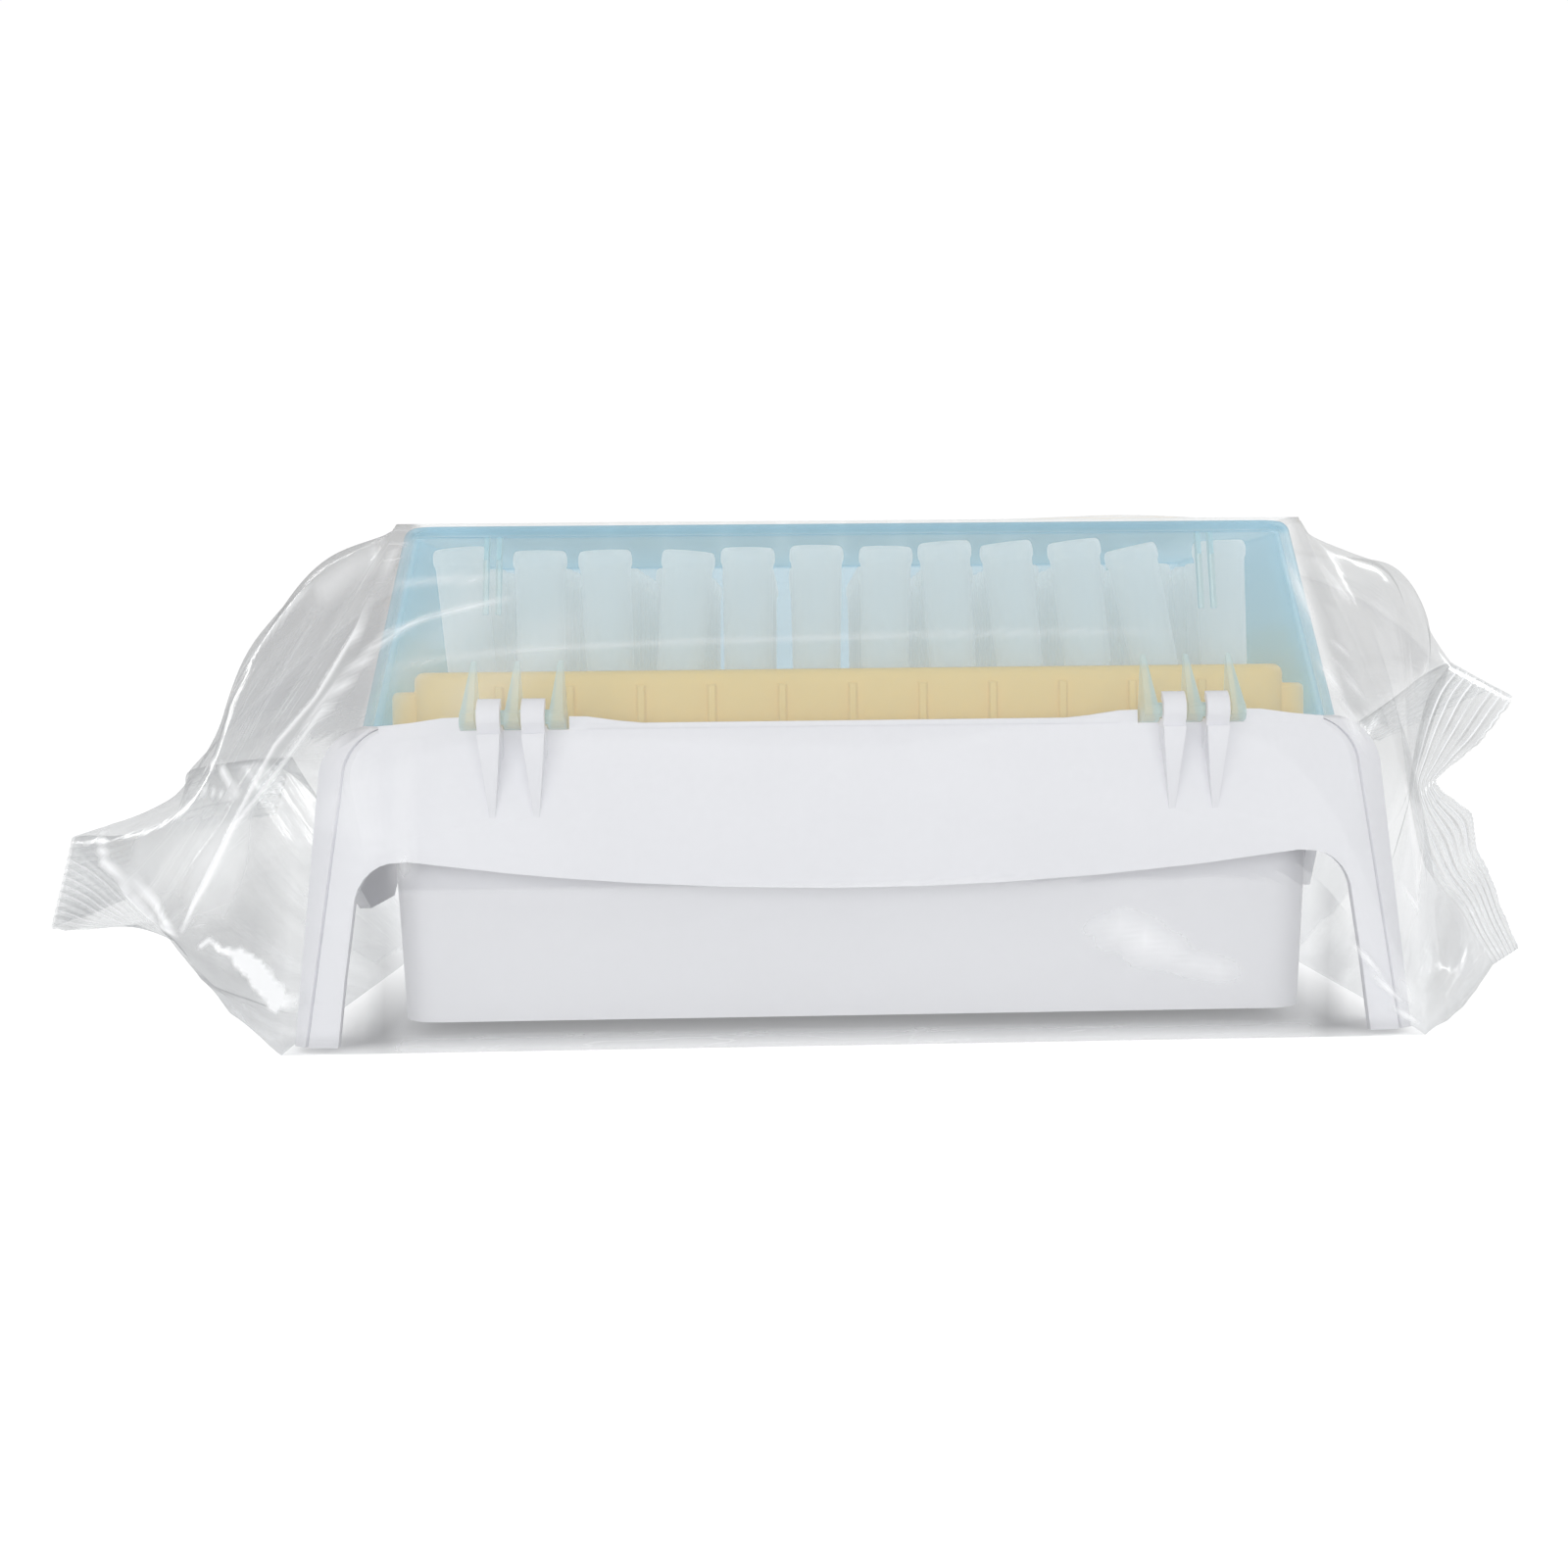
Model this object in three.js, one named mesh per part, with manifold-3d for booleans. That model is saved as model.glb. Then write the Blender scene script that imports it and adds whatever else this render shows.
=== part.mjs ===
// A hinged box of pipette tips, sealed in a clear flow-wrap film.
// Millimetres, +Z up. The hinge side faces -Y and the long axis lies along X.
// The box stands on the film's flat bottom at z = 0.

import * as THREE from 'three';
import { mergeVertices } from 'three/addons/utils/BufferGeometryUtils.js';
import Module from 'manifold-3d';

const wasm = await Module();
wasm.setup();

// ---------------------------------------------------------------- driving dimensions

const clearance = 0.3; // running gap between pieces that rest in or on each other

const grid = { pitch: 9, columns: 12, rows: 8 };

// The whole box is built outwards from the grid of tips: half its length and half its depth.
const [gridX, gridY] = [grid.columns, grid.rows].map((cells) => (cells * grid.pitch) / 2);

const base = {
  rimHeight: 39, // top of the lip, above the soles of the feet
  lipHeight: 1, // how far the lip stands above the rim that carries the lid
  wall: 1.6,
  rimHalfLength: gridX + 6, // where the shoulder starts to round
  shoulderRadius: 6.8,
  footHalfLength: gridX + 15,
  rimHalfDepth: gridY + 12,
  footHalfDepth: gridY + 16.5,
  cornerTop: 3.8, // corner chamfer of the skirt at the shoulder
  cornerFoot: 2,
  legTurn: 0.5, // how far each leg's face turns back towards its corner
  skirtMiddle: 18.4, // lowest point of the arched lower edge, in the middle
  skirtEnd: 22.5, // highest point of the same edge, beside the legs
  skirtEndX: gridX + 2.5,
  legInnerTop: [gridX + 7.5, 17.5], // inner edge of a leg, x and z
  legInnerFoot: [gridX + 9.3, 0],
  sideEdge: 19.5, // lower edge of the skirt on the two ends
  sideLeg: gridY + 2, // half the width between the legs on the two ends
  sideTab: { from: -30, flatFrom: -15, flatTo: 2, to: 9, height: 13 },
  nib: { drop: 3, rise: 1.5, depth: 0.7 }, // the catch's nib: its middle below the rim, half height, reach
};

// The tub, the lid and the tray keep their places against the base's rim.
const tub = {
  wall: 1.5,
  floorHeight: 1.2, // underside of the tub above the soles of the feet
  topHalf: [base.rimHalfLength - 0.6, base.rimHalfDepth - 4.6],
  floorHalf: [base.rimHalfLength - 2.3, base.rimHalfDepth - 6.4],
  corner: 5,
};

const hinge = {
  centre: gridX - 12, // each hinge's middle, from the box's middle
  spacing: 5.4, // between neighbouring gussets
  pinRadius: 0.9,
  pinOut: 2, // pin axis in front of the rim's face
  pinRise: 0.9, // pin axis above the top of the lip
  hookWall: 1.1,
  hookWidth: 2.8,
  ribDrop: 11.4, // length of the tapering rib under each hook
  gussetThickness: 1,
  gussetRise: 7.8, // gusset apex above the top of the lip
};

const tray = {
  deckHeight: base.rimHeight + 6.5, // top of the deck above the soles of the feet
  deck: 1.6,
  wall: 1.4,
  deckHalf: [base.rimHalfLength - 3.5, base.rimHalfDepth - 8.5],
  corner: 5,
  edgeRound: 1.2,
  skirtDrop: 12,
  ledgeHeight: base.rimHeight + 4,
  ledgeHalfLength: base.rimHalfLength - 0.4,
  ledgeHalfDepth: base.rimHalfDepth - 11.5,
  holeRadius: grid.pitch / 2 - 1,
  ribWidth: 1,
  ribDepth: 0.5,
};

const tip = {
  sides: 6,
  length: 50.6,
  collar: 16.6, // from the mouth down to the step round the body
  mouthRadius: grid.pitch / 2 - 1.1,
  collarRadius: grid.pitch / 2 - 1.4,
  bodyRadius: grid.pitch / 2 - 1.75,
  endRadius: 0.5,
  boreMouth: grid.pitch / 2 - 1.8,
  boreEnd: 0.2,
  seatDepth: 3.1, // how far a seated tip's collar goes down through its hole
  looseLean: [-5, 0, -2, 5, 0.5, 0.5, 1, -3.5, -6.5, -6.5, -12, -2], // degrees, top towards +X
  looseDrop: [0.7, 1.2, 1.2, 1.3, 1, 0.8, 1, 0.4, 0.5, 0.3, 0.9, 0.6], // collar below the deck's top
  pivotBelowDeck: 0.8, // a leaning tip turns about the middle of its hole
};

const lid = {
  // From the rim to the top, high enough to clear the tips.
  height: tray.deckHeight + tip.collar + 1.6 - (base.rimHeight - base.lipHeight),
  wall: 1.3,
  footHalf: [base.rimHalfLength + 2.3, base.rimHalfDepth - 1.8],
  topHalf: [base.rimHalfLength - 3, base.rimHalfDepth - 7.5],
  footCorner: 7,
  topCorner: 5,
  edgeRound: 1.2,
  ribX: gridX - 8.5, // middle of each pair of inner ribs
  ribGap: 1.6,
  ribWidth: 0.6,
  ribDepth: 1,
  ribLength: 10,
  catchWidth: 24,
  catchWall: 1.4,
  catchDrop: 7,
  catchRise: 3.2,
};

const film = {
  wall: 0.35,
  sealGap: 0.3, // the two layers of a crimped end stay this far apart
};

const white = new THREE.MeshStandardMaterial({ color: 0xe9e8ec, roughness: 0.55, metalness: 0 });
const blue = new THREE.MeshStandardMaterial({
  color: 0xa9d3e0, roughness: 0.25, metalness: 0, transparent: true, opacity: 0.55,
});
const yellow = new THREE.MeshStandardMaterial({ color: 0xe3cc86, roughness: 0.5, metalness: 0 });
const natural = new THREE.MeshStandardMaterial({
  color: 0xdfe6e4, roughness: 0.4, metalness: 0, transparent: true, opacity: 0.8,
});
const clear = new THREE.MeshStandardMaterial({
  color: 0xdde1e2, roughness: 0.12, metalness: 0, transparent: true, opacity: 0.25,
});

// ---------------------------------------------------------------- solids from three.js geometry

function solidOf(geometry) {
  const bare = geometry.clone();
  bare.deleteAttribute('normal');
  bare.deleteAttribute('uv');
  const merged = mergeVertices(bare, 1e-4);
  return new wasm.Manifold(new wasm.Mesh({
    numProp: 3,
    vertProperties: Float32Array.from(merged.attributes.position.array),
    triVerts: Uint32Array.from(merged.index.array),
  }));
}

function meshOf(name, solid, material) {
  const { vertProperties, triVerts } = solid.getMesh();
  const geometry = new THREE.BufferGeometry();
  geometry.setAttribute('position', new THREE.BufferAttribute(vertProperties, 3));
  geometry.setIndex(new THREE.BufferAttribute(triVerts, 1));
  geometry.computeVertexNormals();
  const mesh = new THREE.Mesh(geometry, material);
  mesh.name = name;
  return mesh;
}

const join = (solids) => solids.reduce((sum, solid) => sum.add(solid));

// A closed body through outlines of equal length, lowest first, each turning anticlockwise.
function loft(outlines) {
  const count = outlines[0].length;
  const points = outlines.flat();
  const faces = [];
  for (let k = 0; k + 1 < outlines.length; k += 1) {
    for (let i = 0; i < count; i += 1) {
      const a = k * count + i;
      const b = k * count + ((i + 1) % count);
      faces.push(a, b, b + count, a, b + count, a + count);
    }
  }
  const top = (outlines.length - 1) * count;
  const flat = outlines[0].map((p) => new THREE.Vector2(p.x, p.y));
  for (const [i, j, k] of THREE.ShapeUtils.triangulateShape(flat, [])) {
    faces.push(i, k, j);
  }
  const flatTop = outlines.at(-1).map((p) => new THREE.Vector2(p.x, p.y));
  for (const [i, j, k] of THREE.ShapeUtils.triangulateShape(flatTop, [])) {
    faces.push(top + i, top + j, top + k);
  }
  const geometry = new THREE.BufferGeometry().setFromPoints(points);
  geometry.setIndex(faces);
  return solidOf(geometry);
}

function roundedOutline([halfX, halfY], radius, z, steps = 3) {
  const points = [];
  const corners = [[1, 1], [-1, 1], [-1, -1], [1, -1]];
  corners.forEach(([sx, sy], quarter) => {
    for (let i = 0; i <= steps; i += 1) {
      const angle = (quarter + i / steps) * (Math.PI / 2);
      points.push(new THREE.Vector3(
        sx * (halfX - radius) + radius * Math.cos(angle),
        sy * (halfY - radius) + radius * Math.sin(angle),
        z,
      ));
    }
  });
  return points;
}

const inset = ([x, y], by) => [x - by, y - by];

function box([x0, y0, z0], [x1, y1, z1]) {
  const geometry = new THREE.BoxGeometry(x1 - x0, y1 - y0, z1 - z0);
  geometry.translate((x0 + x1) / 2, (y0 + y1) / 2, (z0 + z1) / 2);
  return solidOf(geometry);
}

// An outline in the XZ plane, pushed along Y.
function prismAlongY(points, y0, y1) {
  const shape = new THREE.Shape(points.map(([x, z]) => new THREE.Vector2(x, z)));
  const geometry = new THREE.ExtrudeGeometry(shape, { depth: y1 - y0, bevelEnabled: false });
  geometry.rotateX(Math.PI / 2);
  geometry.translate(0, y1, 0);
  return solidOf(geometry);
}

// An outline in the YZ plane, pushed along X.
function prismAlongX(points, x0, x1) {
  const shape = new THREE.Shape(points.map(([y, z]) => new THREE.Vector2(y, z)));
  const geometry = new THREE.ExtrudeGeometry(shape, { depth: x1 - x0, bevelEnabled: false });
  geometry.rotateZ(Math.PI / 2);
  geometry.rotateY(Math.PI / 2);
  geometry.translate(x0, 0, 0);
  return solidOf(geometry);
}

const mirrorPairs = (x) => [-x, x];
const lerp = THREE.MathUtils.lerp;

// ---------------------------------------------------------------- base

const rimTop = base.rimHeight - base.lipHeight;
const shoulderHeight = base.rimHeight - base.shoulderRadius;
const shoulderHalfLength = base.rimHalfLength + base.shoulderRadius;

const skirtHalfDepth = (z) => lerp(base.footHalfDepth, base.rimHalfDepth, z / base.rimHeight);

// Plan outline of the skirt at one height: a rectangle with chamfered corners, whose front and
// back faces turn back slightly over the legs.
function skirtOutline(z, halfLength, shrink) {
  const share = Math.min(z / shoulderHeight, 1);
  const corner = lerp(base.cornerFoot, base.cornerTop, share);
  const face = halfLength - corner;
  const turn = Math.min(0.9 + Math.max(shoulderHeight - z, 0) / 3, 5);
  const x = [face - turn, face, halfLength - shrink];
  const depth = skirtHalfDepth(z) - shrink;
  const y = [depth, depth - base.legTurn, depth - base.legTurn - corner * 0.8];
  const quarter = x.map((value, i) => [value, y[i]]);
  const points = [
    ...quarter.slice().reverse(),
    ...quarter.map(([px, py]) => [-px, py]),
    ...quarter.slice().reverse().map(([px, py]) => [-px, -py]),
    ...quarter.map(([px, py]) => [px, -py]),
  ];
  return points.map(([px, py]) => new THREE.Vector3(px, py, z));
}

function skirtBody(shrink, drop) {
  const outlines = [];
  for (const z of [-drop, shoulderHeight / 2, shoulderHeight]) {
    const flare = lerp(base.footHalfLength, shoulderHalfLength, z / shoulderHeight);
    outlines.push(skirtOutline(z, flare, shrink));
  }
  const radius = base.shoulderRadius - shrink;
  for (let i = 1; i <= 5; i += 1) {
    const angle = (i / 5) * (Math.PI / 2);
    const z = shoulderHeight + radius * Math.sin(angle);
    const halfLength = base.rimHalfLength + shrink + radius * Math.cos(angle);
    outlines.push(skirtOutline(z, halfLength, shrink));
  }
  return loft(outlines);
}

// The gap under the front and back skirt: legs at both ends, an arched edge between them.
function frontArch() {
  const steps = 12;
  const points = [];
  const [footX, footZ] = base.legInnerFoot;
  const [topX, topZ] = base.legInnerTop;
  points.push([footX + 0.2, footZ - 2], [topX, topZ]);
  const curve = new THREE.QuadraticBezierCurve(
    new THREE.Vector2(topX, topZ),
    new THREE.Vector2(topX - 0.4, base.skirtEnd - 0.3),
    new THREE.Vector2(base.skirtEndX, base.skirtEnd),
  );
  for (const p of curve.getPoints(4).slice(1)) points.push([p.x, p.y]);
  for (let i = 1; i <= steps; i += 1) {
    const x = lerp(base.skirtEndX, -base.skirtEndX, i / steps);
    const share = (x / base.skirtEndX) ** 2;
    points.push([x, lerp(base.skirtMiddle, base.skirtEnd, share)]);
  }
  for (const p of curve.getPoints(4).slice(0, -1).reverse()) points.push([-p.x, p.y]);
  points.push([-footX - 0.2, footZ - 2]);
  const reach = base.footHalfDepth + 5;
  return prismAlongY(points, -reach, reach);
}

// The gap under each end of the skirt, with a finger tab that hangs lower.
function sideArch(side) {
  const { from, flatFrom, flatTo, to, height } = base.sideTab;
  const leg = base.sideLeg;
  const outline = [
    [-leg - 1, -2], [-leg, base.sideEdge - 3], [-leg + 3, base.sideEdge],
    [from, base.sideEdge], [flatFrom, height], [flatTo, height], [to, base.sideEdge],
    [leg - 3, base.sideEdge], [leg, base.sideEdge - 3], [leg + 1, -2],
  ];
  const reach = base.footHalfLength + 5;
  const gap = prismAlongX(outline, -reach, 0);
  return side < 0 ? gap : gap.rotate([0, 0, 180]);
}

const pinY = -(base.rimHalfDepth + hinge.pinOut);
const pinZ = base.rimHeight + hinge.pinRise;
const hookInner = hinge.pinRadius + clearance;
const hookOuter = hookInner + hinge.hookWall;

// An open hook around the pin, carried by a tapering rib that runs down the skirt.
function hook(x) {
  const arc = (radius, from, to, steps) => Array.from({ length: steps + 1 }, (_, i) => {
    const angle = THREE.MathUtils.degToRad(lerp(from, to, i / steps));
    return [pinY + radius * Math.cos(angle), pinZ + radius * Math.sin(angle)];
  });
  const outline = [
    ...arc(hookOuter, 95, 200, 6),
    [-skirtHalfDepth(pinZ - 4) - 0.6, pinZ - 5],
    [-base.rimHalfDepth + 1, pinZ - 5],
    [-base.rimHalfDepth + 1, rimTop - 0.2],
    ...arc(hookInner, 290, 95, 8),
  ];
  const half = hinge.hookWidth / 2;
  const ring = prismAlongX(outline.reverse(), x - half, x + half);
  const ribTop = pinZ - 0.8;
  const ribFoot = base.rimHeight - hinge.ribDrop;
  const section = (z, front, halfWidth) => [
    new THREE.Vector3(x + halfWidth, -skirtHalfDepth(z) + 1, z),
    new THREE.Vector3(x - halfWidth, -skirtHalfDepth(z) + 1, z),
    new THREE.Vector3(x - halfWidth, front, z),
    new THREE.Vector3(x + halfWidth, front, z),
  ];
  const rib = loft([
    section(ribFoot, -skirtHalfDepth(ribFoot) - 0.05, 0.35),
    section(base.rimHeight - 4, pinY - hookOuter + 1, half * 0.8),
    section(ribTop - hookInner, pinY - hookOuter + 0.15, half),
  ]);
  return ring.add(rib);
}

function tubBody(by, from, to) {
  const outline = (z) => {
    const share = (z - tub.floorHeight) / (rimTop - tub.floorHeight);
    const half = [0, 1].map((i) => lerp(tub.floorHalf[i], tub.topHalf[i], share));
    return roundedOutline(inset(half, by), tub.corner - by, z);
  };
  return loft([outline(from), outline(to)]);
}

function makeBase() {
  const skirt = skirtBody(0, 0)
    .subtract(skirtBody(base.wall, 1))
    .subtract(frontArch())
    .subtract(sideArch(-1))
    .subtract(sideArch(1));
  const lidSeat = loft([rimTop, base.rimHeight + 3].map((z) => roundedOutline(
    inset(lid.footHalf, -clearance - 0.2), lid.footCorner, z,
  )));
  const hingeGap = hinge.spacing + hinge.gussetThickness / 2 + 0.8;
  const lowered = mirrorPairs(hinge.centre).map((x) => box(
    [x - hingeGap, -base.rimHalfDepth - 2, rimTop],
    [x + hingeGap, -base.rimHalfDepth + 6, base.rimHeight + 3],
  ));
  const swell = (x, run) => prismAlongY(
    [[x, rimTop], [x, base.rimHeight + 0.9], [x + run / 4, base.rimHeight + 0.8], [x + run, rimTop]],
    -base.rimHalfDepth, -base.rimHalfDepth + 1.2,
  );
  const swells = mirrorPairs(hinge.centre).flatMap((x) => [
    swell(x + hingeGap, 9), solidOfMirrored(swell(-x + hingeGap, 9)),
  ]);
  const hooks = mirrorPairs(hinge.centre).flatMap((x) => mirrorPairs(hinge.spacing / 2).map((dx) => hook(x + dx)));
  const { drop, rise, depth } = base.nib;
  const nibZ = rimTop - drop;
  const face = skirtHalfDepth(nibZ);
  const catchNib = prismAlongX([
    [face - 0.5, nibZ + rise], [face - 0.5, nibZ - rise],
    [face + 0.1, nibZ - rise], [face + depth, nibZ], [face + 0.1, nibZ + rise],
  ], -lid.catchWidth / 2 + 3, lid.catchWidth / 2 - 3);
  return join([skirt, tubBody(0, tub.floorHeight, rimTop)])
    .subtract(tubBody(tub.wall, tub.floorHeight + tub.wall, base.rimHeight + 3))
    .subtract(lidSeat)
    .subtract(join(lowered))
    .add(join([...swells, ...hooks, catchNib]));
}

function solidOfMirrored(solid) {
  return solid.mirror([1, 0, 0]);
}

// ---------------------------------------------------------------- lid

const lidFoot = rimTop + clearance;
const lidTop = rimTop + clearance + lid.height;

const lidHalf = (z, axis) => lerp(lid.footHalf[axis], lid.topHalf[axis], (z - lidFoot) / lid.height);

function lidBody(by, from, to, round) {
  const outline = (z, extra) => {
    const share = (z - lidFoot) / lid.height;
    const half = [lidHalf(z, 0), lidHalf(z, 1)];
    return roundedOutline(inset(half, by + extra), lerp(lid.footCorner, lid.topCorner, share) - by - extra, z, 4);
  };
  const below = round * (1 - Math.SQRT1_2);
  return loft([outline(from, 0), outline(to - round, 0), outline(to - below, below), outline(to, round)]);
}

// A triangular gusset that stands out from the lid's wall and carries the pin.
function gusset(x) {
  const apexZ = base.rimHeight + hinge.gussetRise;
  const inside = (z) => -lidHalf(z, 1) + 0.6;
  const r = hinge.pinRadius + 0.35;
  const outline = [
    [inside(lidFoot), lidFoot], [inside(apexZ), apexZ], [-lidHalf(apexZ, 1) - 0.2, apexZ],
    [pinY - r * 0.2, pinZ + r], [pinY - r, pinZ + r * 0.4], [pinY - r, pinZ - r * 0.4],
    [pinY - r * 0.4, pinZ - r], [pinY + 1, lidFoot],
  ];
  const half = hinge.gussetThickness / 2;
  return prismAlongX(outline.reverse(), x - half, x + half);
}

function pin(x) {
  const geometry = new THREE.CylinderGeometry(
    hinge.pinRadius, hinge.pinRadius, 2 * hinge.spacing + hinge.gussetThickness, 10,
  );
  geometry.rotateZ(Math.PI / 2);
  geometry.translate(x, pinY, pinZ);
  return solidOf(geometry);
}

function makeLid() {
  const shell = lidBody(0, lidFoot, lidTop, lid.edgeRound)
    .subtract(lidBody(lid.wall, lidFoot - 1, lidTop - lid.wall, 0.4));
  const ribs = mirrorPairs(lid.ribX).flatMap((x) => mirrorPairs(lid.ribGap / 2).flatMap((dx) => [-1, 1].map((side) => {
    const top = lidTop - lid.wall / 2;
    const foot = lidTop - lid.wall - lid.ribLength;
    const wallY = (z) => lidHalf(z, 1) - lid.wall / 2;
    const depth = lid.wall / 2 + lid.ribDepth;
    const outline = [
      [wallY(foot), foot], [wallY(top) - 1, top], [wallY(top) - depth - 1, top], [wallY(foot) - depth, foot],
    ].map(([y, z]) => [side * y, z]);
    const half = lid.ribWidth / 2;
    return prismAlongX(side > 0 ? outline.reverse() : outline, x + dx - half, x + dx + half);
  })));
  const gussets = mirrorPairs(hinge.centre).flatMap((x) => [-1, 0, 1].map((k) => gusset(x + k * hinge.spacing)));
  const pins = mirrorPairs(hinge.centre).map(pin);
  const catchY = skirtHalfDepth(rimTop - lid.catchDrop) + clearance + 1;
  const catchTop = rimTop + lid.catchRise;
  const catchTab = prismAlongX([
    [lidHalf(catchTop, 1) - 0.5, lidFoot + 1.2], [catchY, lidFoot + 1.2], [catchY, rimTop - lid.catchDrop],
    [catchY + lid.catchWall, rimTop - lid.catchDrop - 0.6], [catchY + lid.catchWall, catchTop - 1],
    [lidHalf(catchTop, 1) - 0.5, catchTop],
  ], -lid.catchWidth / 2, lid.catchWidth / 2);
  return join([shell, ...ribs, ...gussets, ...pins, catchTab]);
}

// ---------------------------------------------------------------- tips

const columnX = (column) => (column - (grid.columns - 1) / 2) * grid.pitch;
const rowY = (row) => (row - (grid.rows - 1) / 2) * grid.pitch;

// The tip's own origin is on its axis, at the step under its collar.
function tipGeometry() {
  const end = tip.collar - tip.length;
  const profile = [
    [tip.boreEnd, end], [tip.endRadius, end], [tip.bodyRadius, 0], [tip.collarRadius, 0],
    [tip.mouthRadius, tip.collar], [tip.boreMouth, tip.collar], [tip.boreEnd, end],
  ].map(([r, z]) => new THREE.Vector2(r, z));
  const geometry = new THREE.LatheGeometry(profile, tip.sides);
  geometry.rotateX(Math.PI / 2);
  geometry.rotateZ(Math.PI / tip.sides);
  return geometry;
}

const tipSolid = solidOf(tipGeometry());

// Where a tip stands and how it leans; the row next to the hinge has worked up out of its holes.
function tipPose(row, column) {
  const loose = row === 0;
  const lean = loose ? tip.looseLean[column] : 0;
  const drop = loose ? tip.looseDrop[column] : tip.seatDepth;
  return { x: columnX(column), y: rowY(row), rise: clearance - drop, lean };
}

const rowIsFused = (row) => row >= 2 && row <= grid.rows - 3;

// ---------------------------------------------------------------- tray

function trayBody(by, from, to, round) {
  const outline = (z, extra) => roundedOutline(inset(tray.deckHalf, by + extra), tray.corner - by - extra, z);
  const below = round * (1 - Math.SQRT1_2);
  return loft([outline(from, 0), outline(to - round, 0), outline(to - below, below), outline(to, round)]);
}

function ledge(by, to) {
  const half = [tray.ledgeHalfLength - by, tray.ledgeHalfDepth - by];
  const foot = rimTop + clearance;
  return loft([
    roundedOutline(half, 3 - by, by ? foot - 1 : foot),
    roundedOutline(half, 3 - by, to - 0.8),
    roundedOutline(inset(half, by ? 0.2 : 0.8), by ? 2.8 - by : 2.2, to),
  ]);
}

function makeTray() {
  const foot = tray.deckHeight - tray.skirtDrop;
  const hollow = trayBody(tray.wall, foot - 1, tray.deckHeight - tray.deck, 0.4);
  const ends = ledge(0, tray.ledgeHeight)
    .subtract(ledge(tray.wall, tray.ledgeHeight - tray.wall))
    .subtract(trayBody(tray.wall, foot - 1, tray.deckHeight - tray.deck, 0.4));
  const wallRibs = [];
  for (let k = 0; k <= grid.columns; k += 1) {
    const x = (k - grid.columns / 2) * grid.pitch;
    if (Math.abs(x) + tray.ribWidth > tray.deckHalf[0] - tray.corner) continue;
    const half = tray.ribWidth / 2;
    const [, y] = tray.deckHalf;
    for (const side of [-1, 1]) {
      const near = Math.min(side * (y - 0.5), side * (y + tray.ribDepth));
      const far = Math.max(side * (y - 0.5), side * (y + tray.ribDepth));
      wallRibs.push(box([x - half, near, foot], [x + half, far, tray.deckHeight - tray.edgeRound - 0.6]));
    }
  }
  let body = join([trayBody(0, foot, tray.deckHeight, tray.edgeRound).subtract(hollow), ends, ...wallRibs]);
  const holes = [];
  const fused = [];
  const bore = new THREE.CylinderGeometry(tray.holeRadius, tray.holeRadius, 2 * tray.deck + 2, tip.sides);
  bore.rotateX(Math.PI / 2);
  bore.rotateZ(Math.PI / tip.sides);
  const boreSolid = solidOf(bore);
  const tipBore = solidOf(new THREE.LatheGeometry([
    new THREE.Vector2(0, tip.collar - tip.length - 0.01), new THREE.Vector2(tip.boreEnd, tip.collar - tip.length - 0.01),
    new THREE.Vector2(tip.boreMouth, tip.collar + 0.01), new THREE.Vector2(0, tip.collar + 0.01),
  ], tip.sides).rotateX(Math.PI / 2).rotateZ(Math.PI / tip.sides));
  for (let row = 0; row < grid.rows; row += 1) {
    for (let column = 0; column < grid.columns; column += 1) {
      const at = [columnX(column), rowY(row), tray.deckHeight];
      if (rowIsFused(row)) {
        const seated = [at[0], at[1], at[2] + tipPose(row, column).rise];
        fused.push(tipSolid.translate(seated));
        holes.push(tipBore.translate(seated));
      } else {
        holes.push(boreSolid.translate(at));
      }
    }
  }
  body = body.add(wasm.Manifold.union(fused));
  return body.subtract(wasm.Manifold.union(holes));
}

// ---------------------------------------------------------------- film

const lift = film.wall + clearance; // the box stands this far above the film's underside
const filmTop = lift + lidTop + clearance + film.wall;
const filmFront = -pinY + hookOuter + clearance + film.wall; // half the depth over the hooks
const filmEnd = base.footHalfLength + clearance + film.wall + 0.35;
const filmTopEnd = lid.topHalf[0] + film.wall;
const filmTopFront = lid.topHalf[1] + film.wall + 0.05;

// Points around the bag's section, from the bottom edge on the hinge side, up over the top and
// down to the bottom edge on the other side. [half length, half depth, height]
const shoulderAt = [shoulderHalfLength + 0.75, filmFront - 2.4, shoulderHeight + 1.2];
const lidMiddle = [
  (shoulderAt[0] + filmTopEnd) / 2, (shoulderAt[1] + filmTopFront) / 2, (shoulderAt[2] + filmTop) / 2,
];
const corner = (z) => [
  lerp(filmEnd, shoulderAt[0], z / shoulderAt[2]), lerp(filmFront, shoulderAt[1], z / shoulderAt[2]), z,
];
// Places across the top as shares of its half depth: along the box, and where each end starts.
const topColumns = [-0.66, -0.34, 0, 0.34, 0.66];
const endColumns = [-0.93, -0.5, -0.1, 0.3, 0.66];

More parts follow.
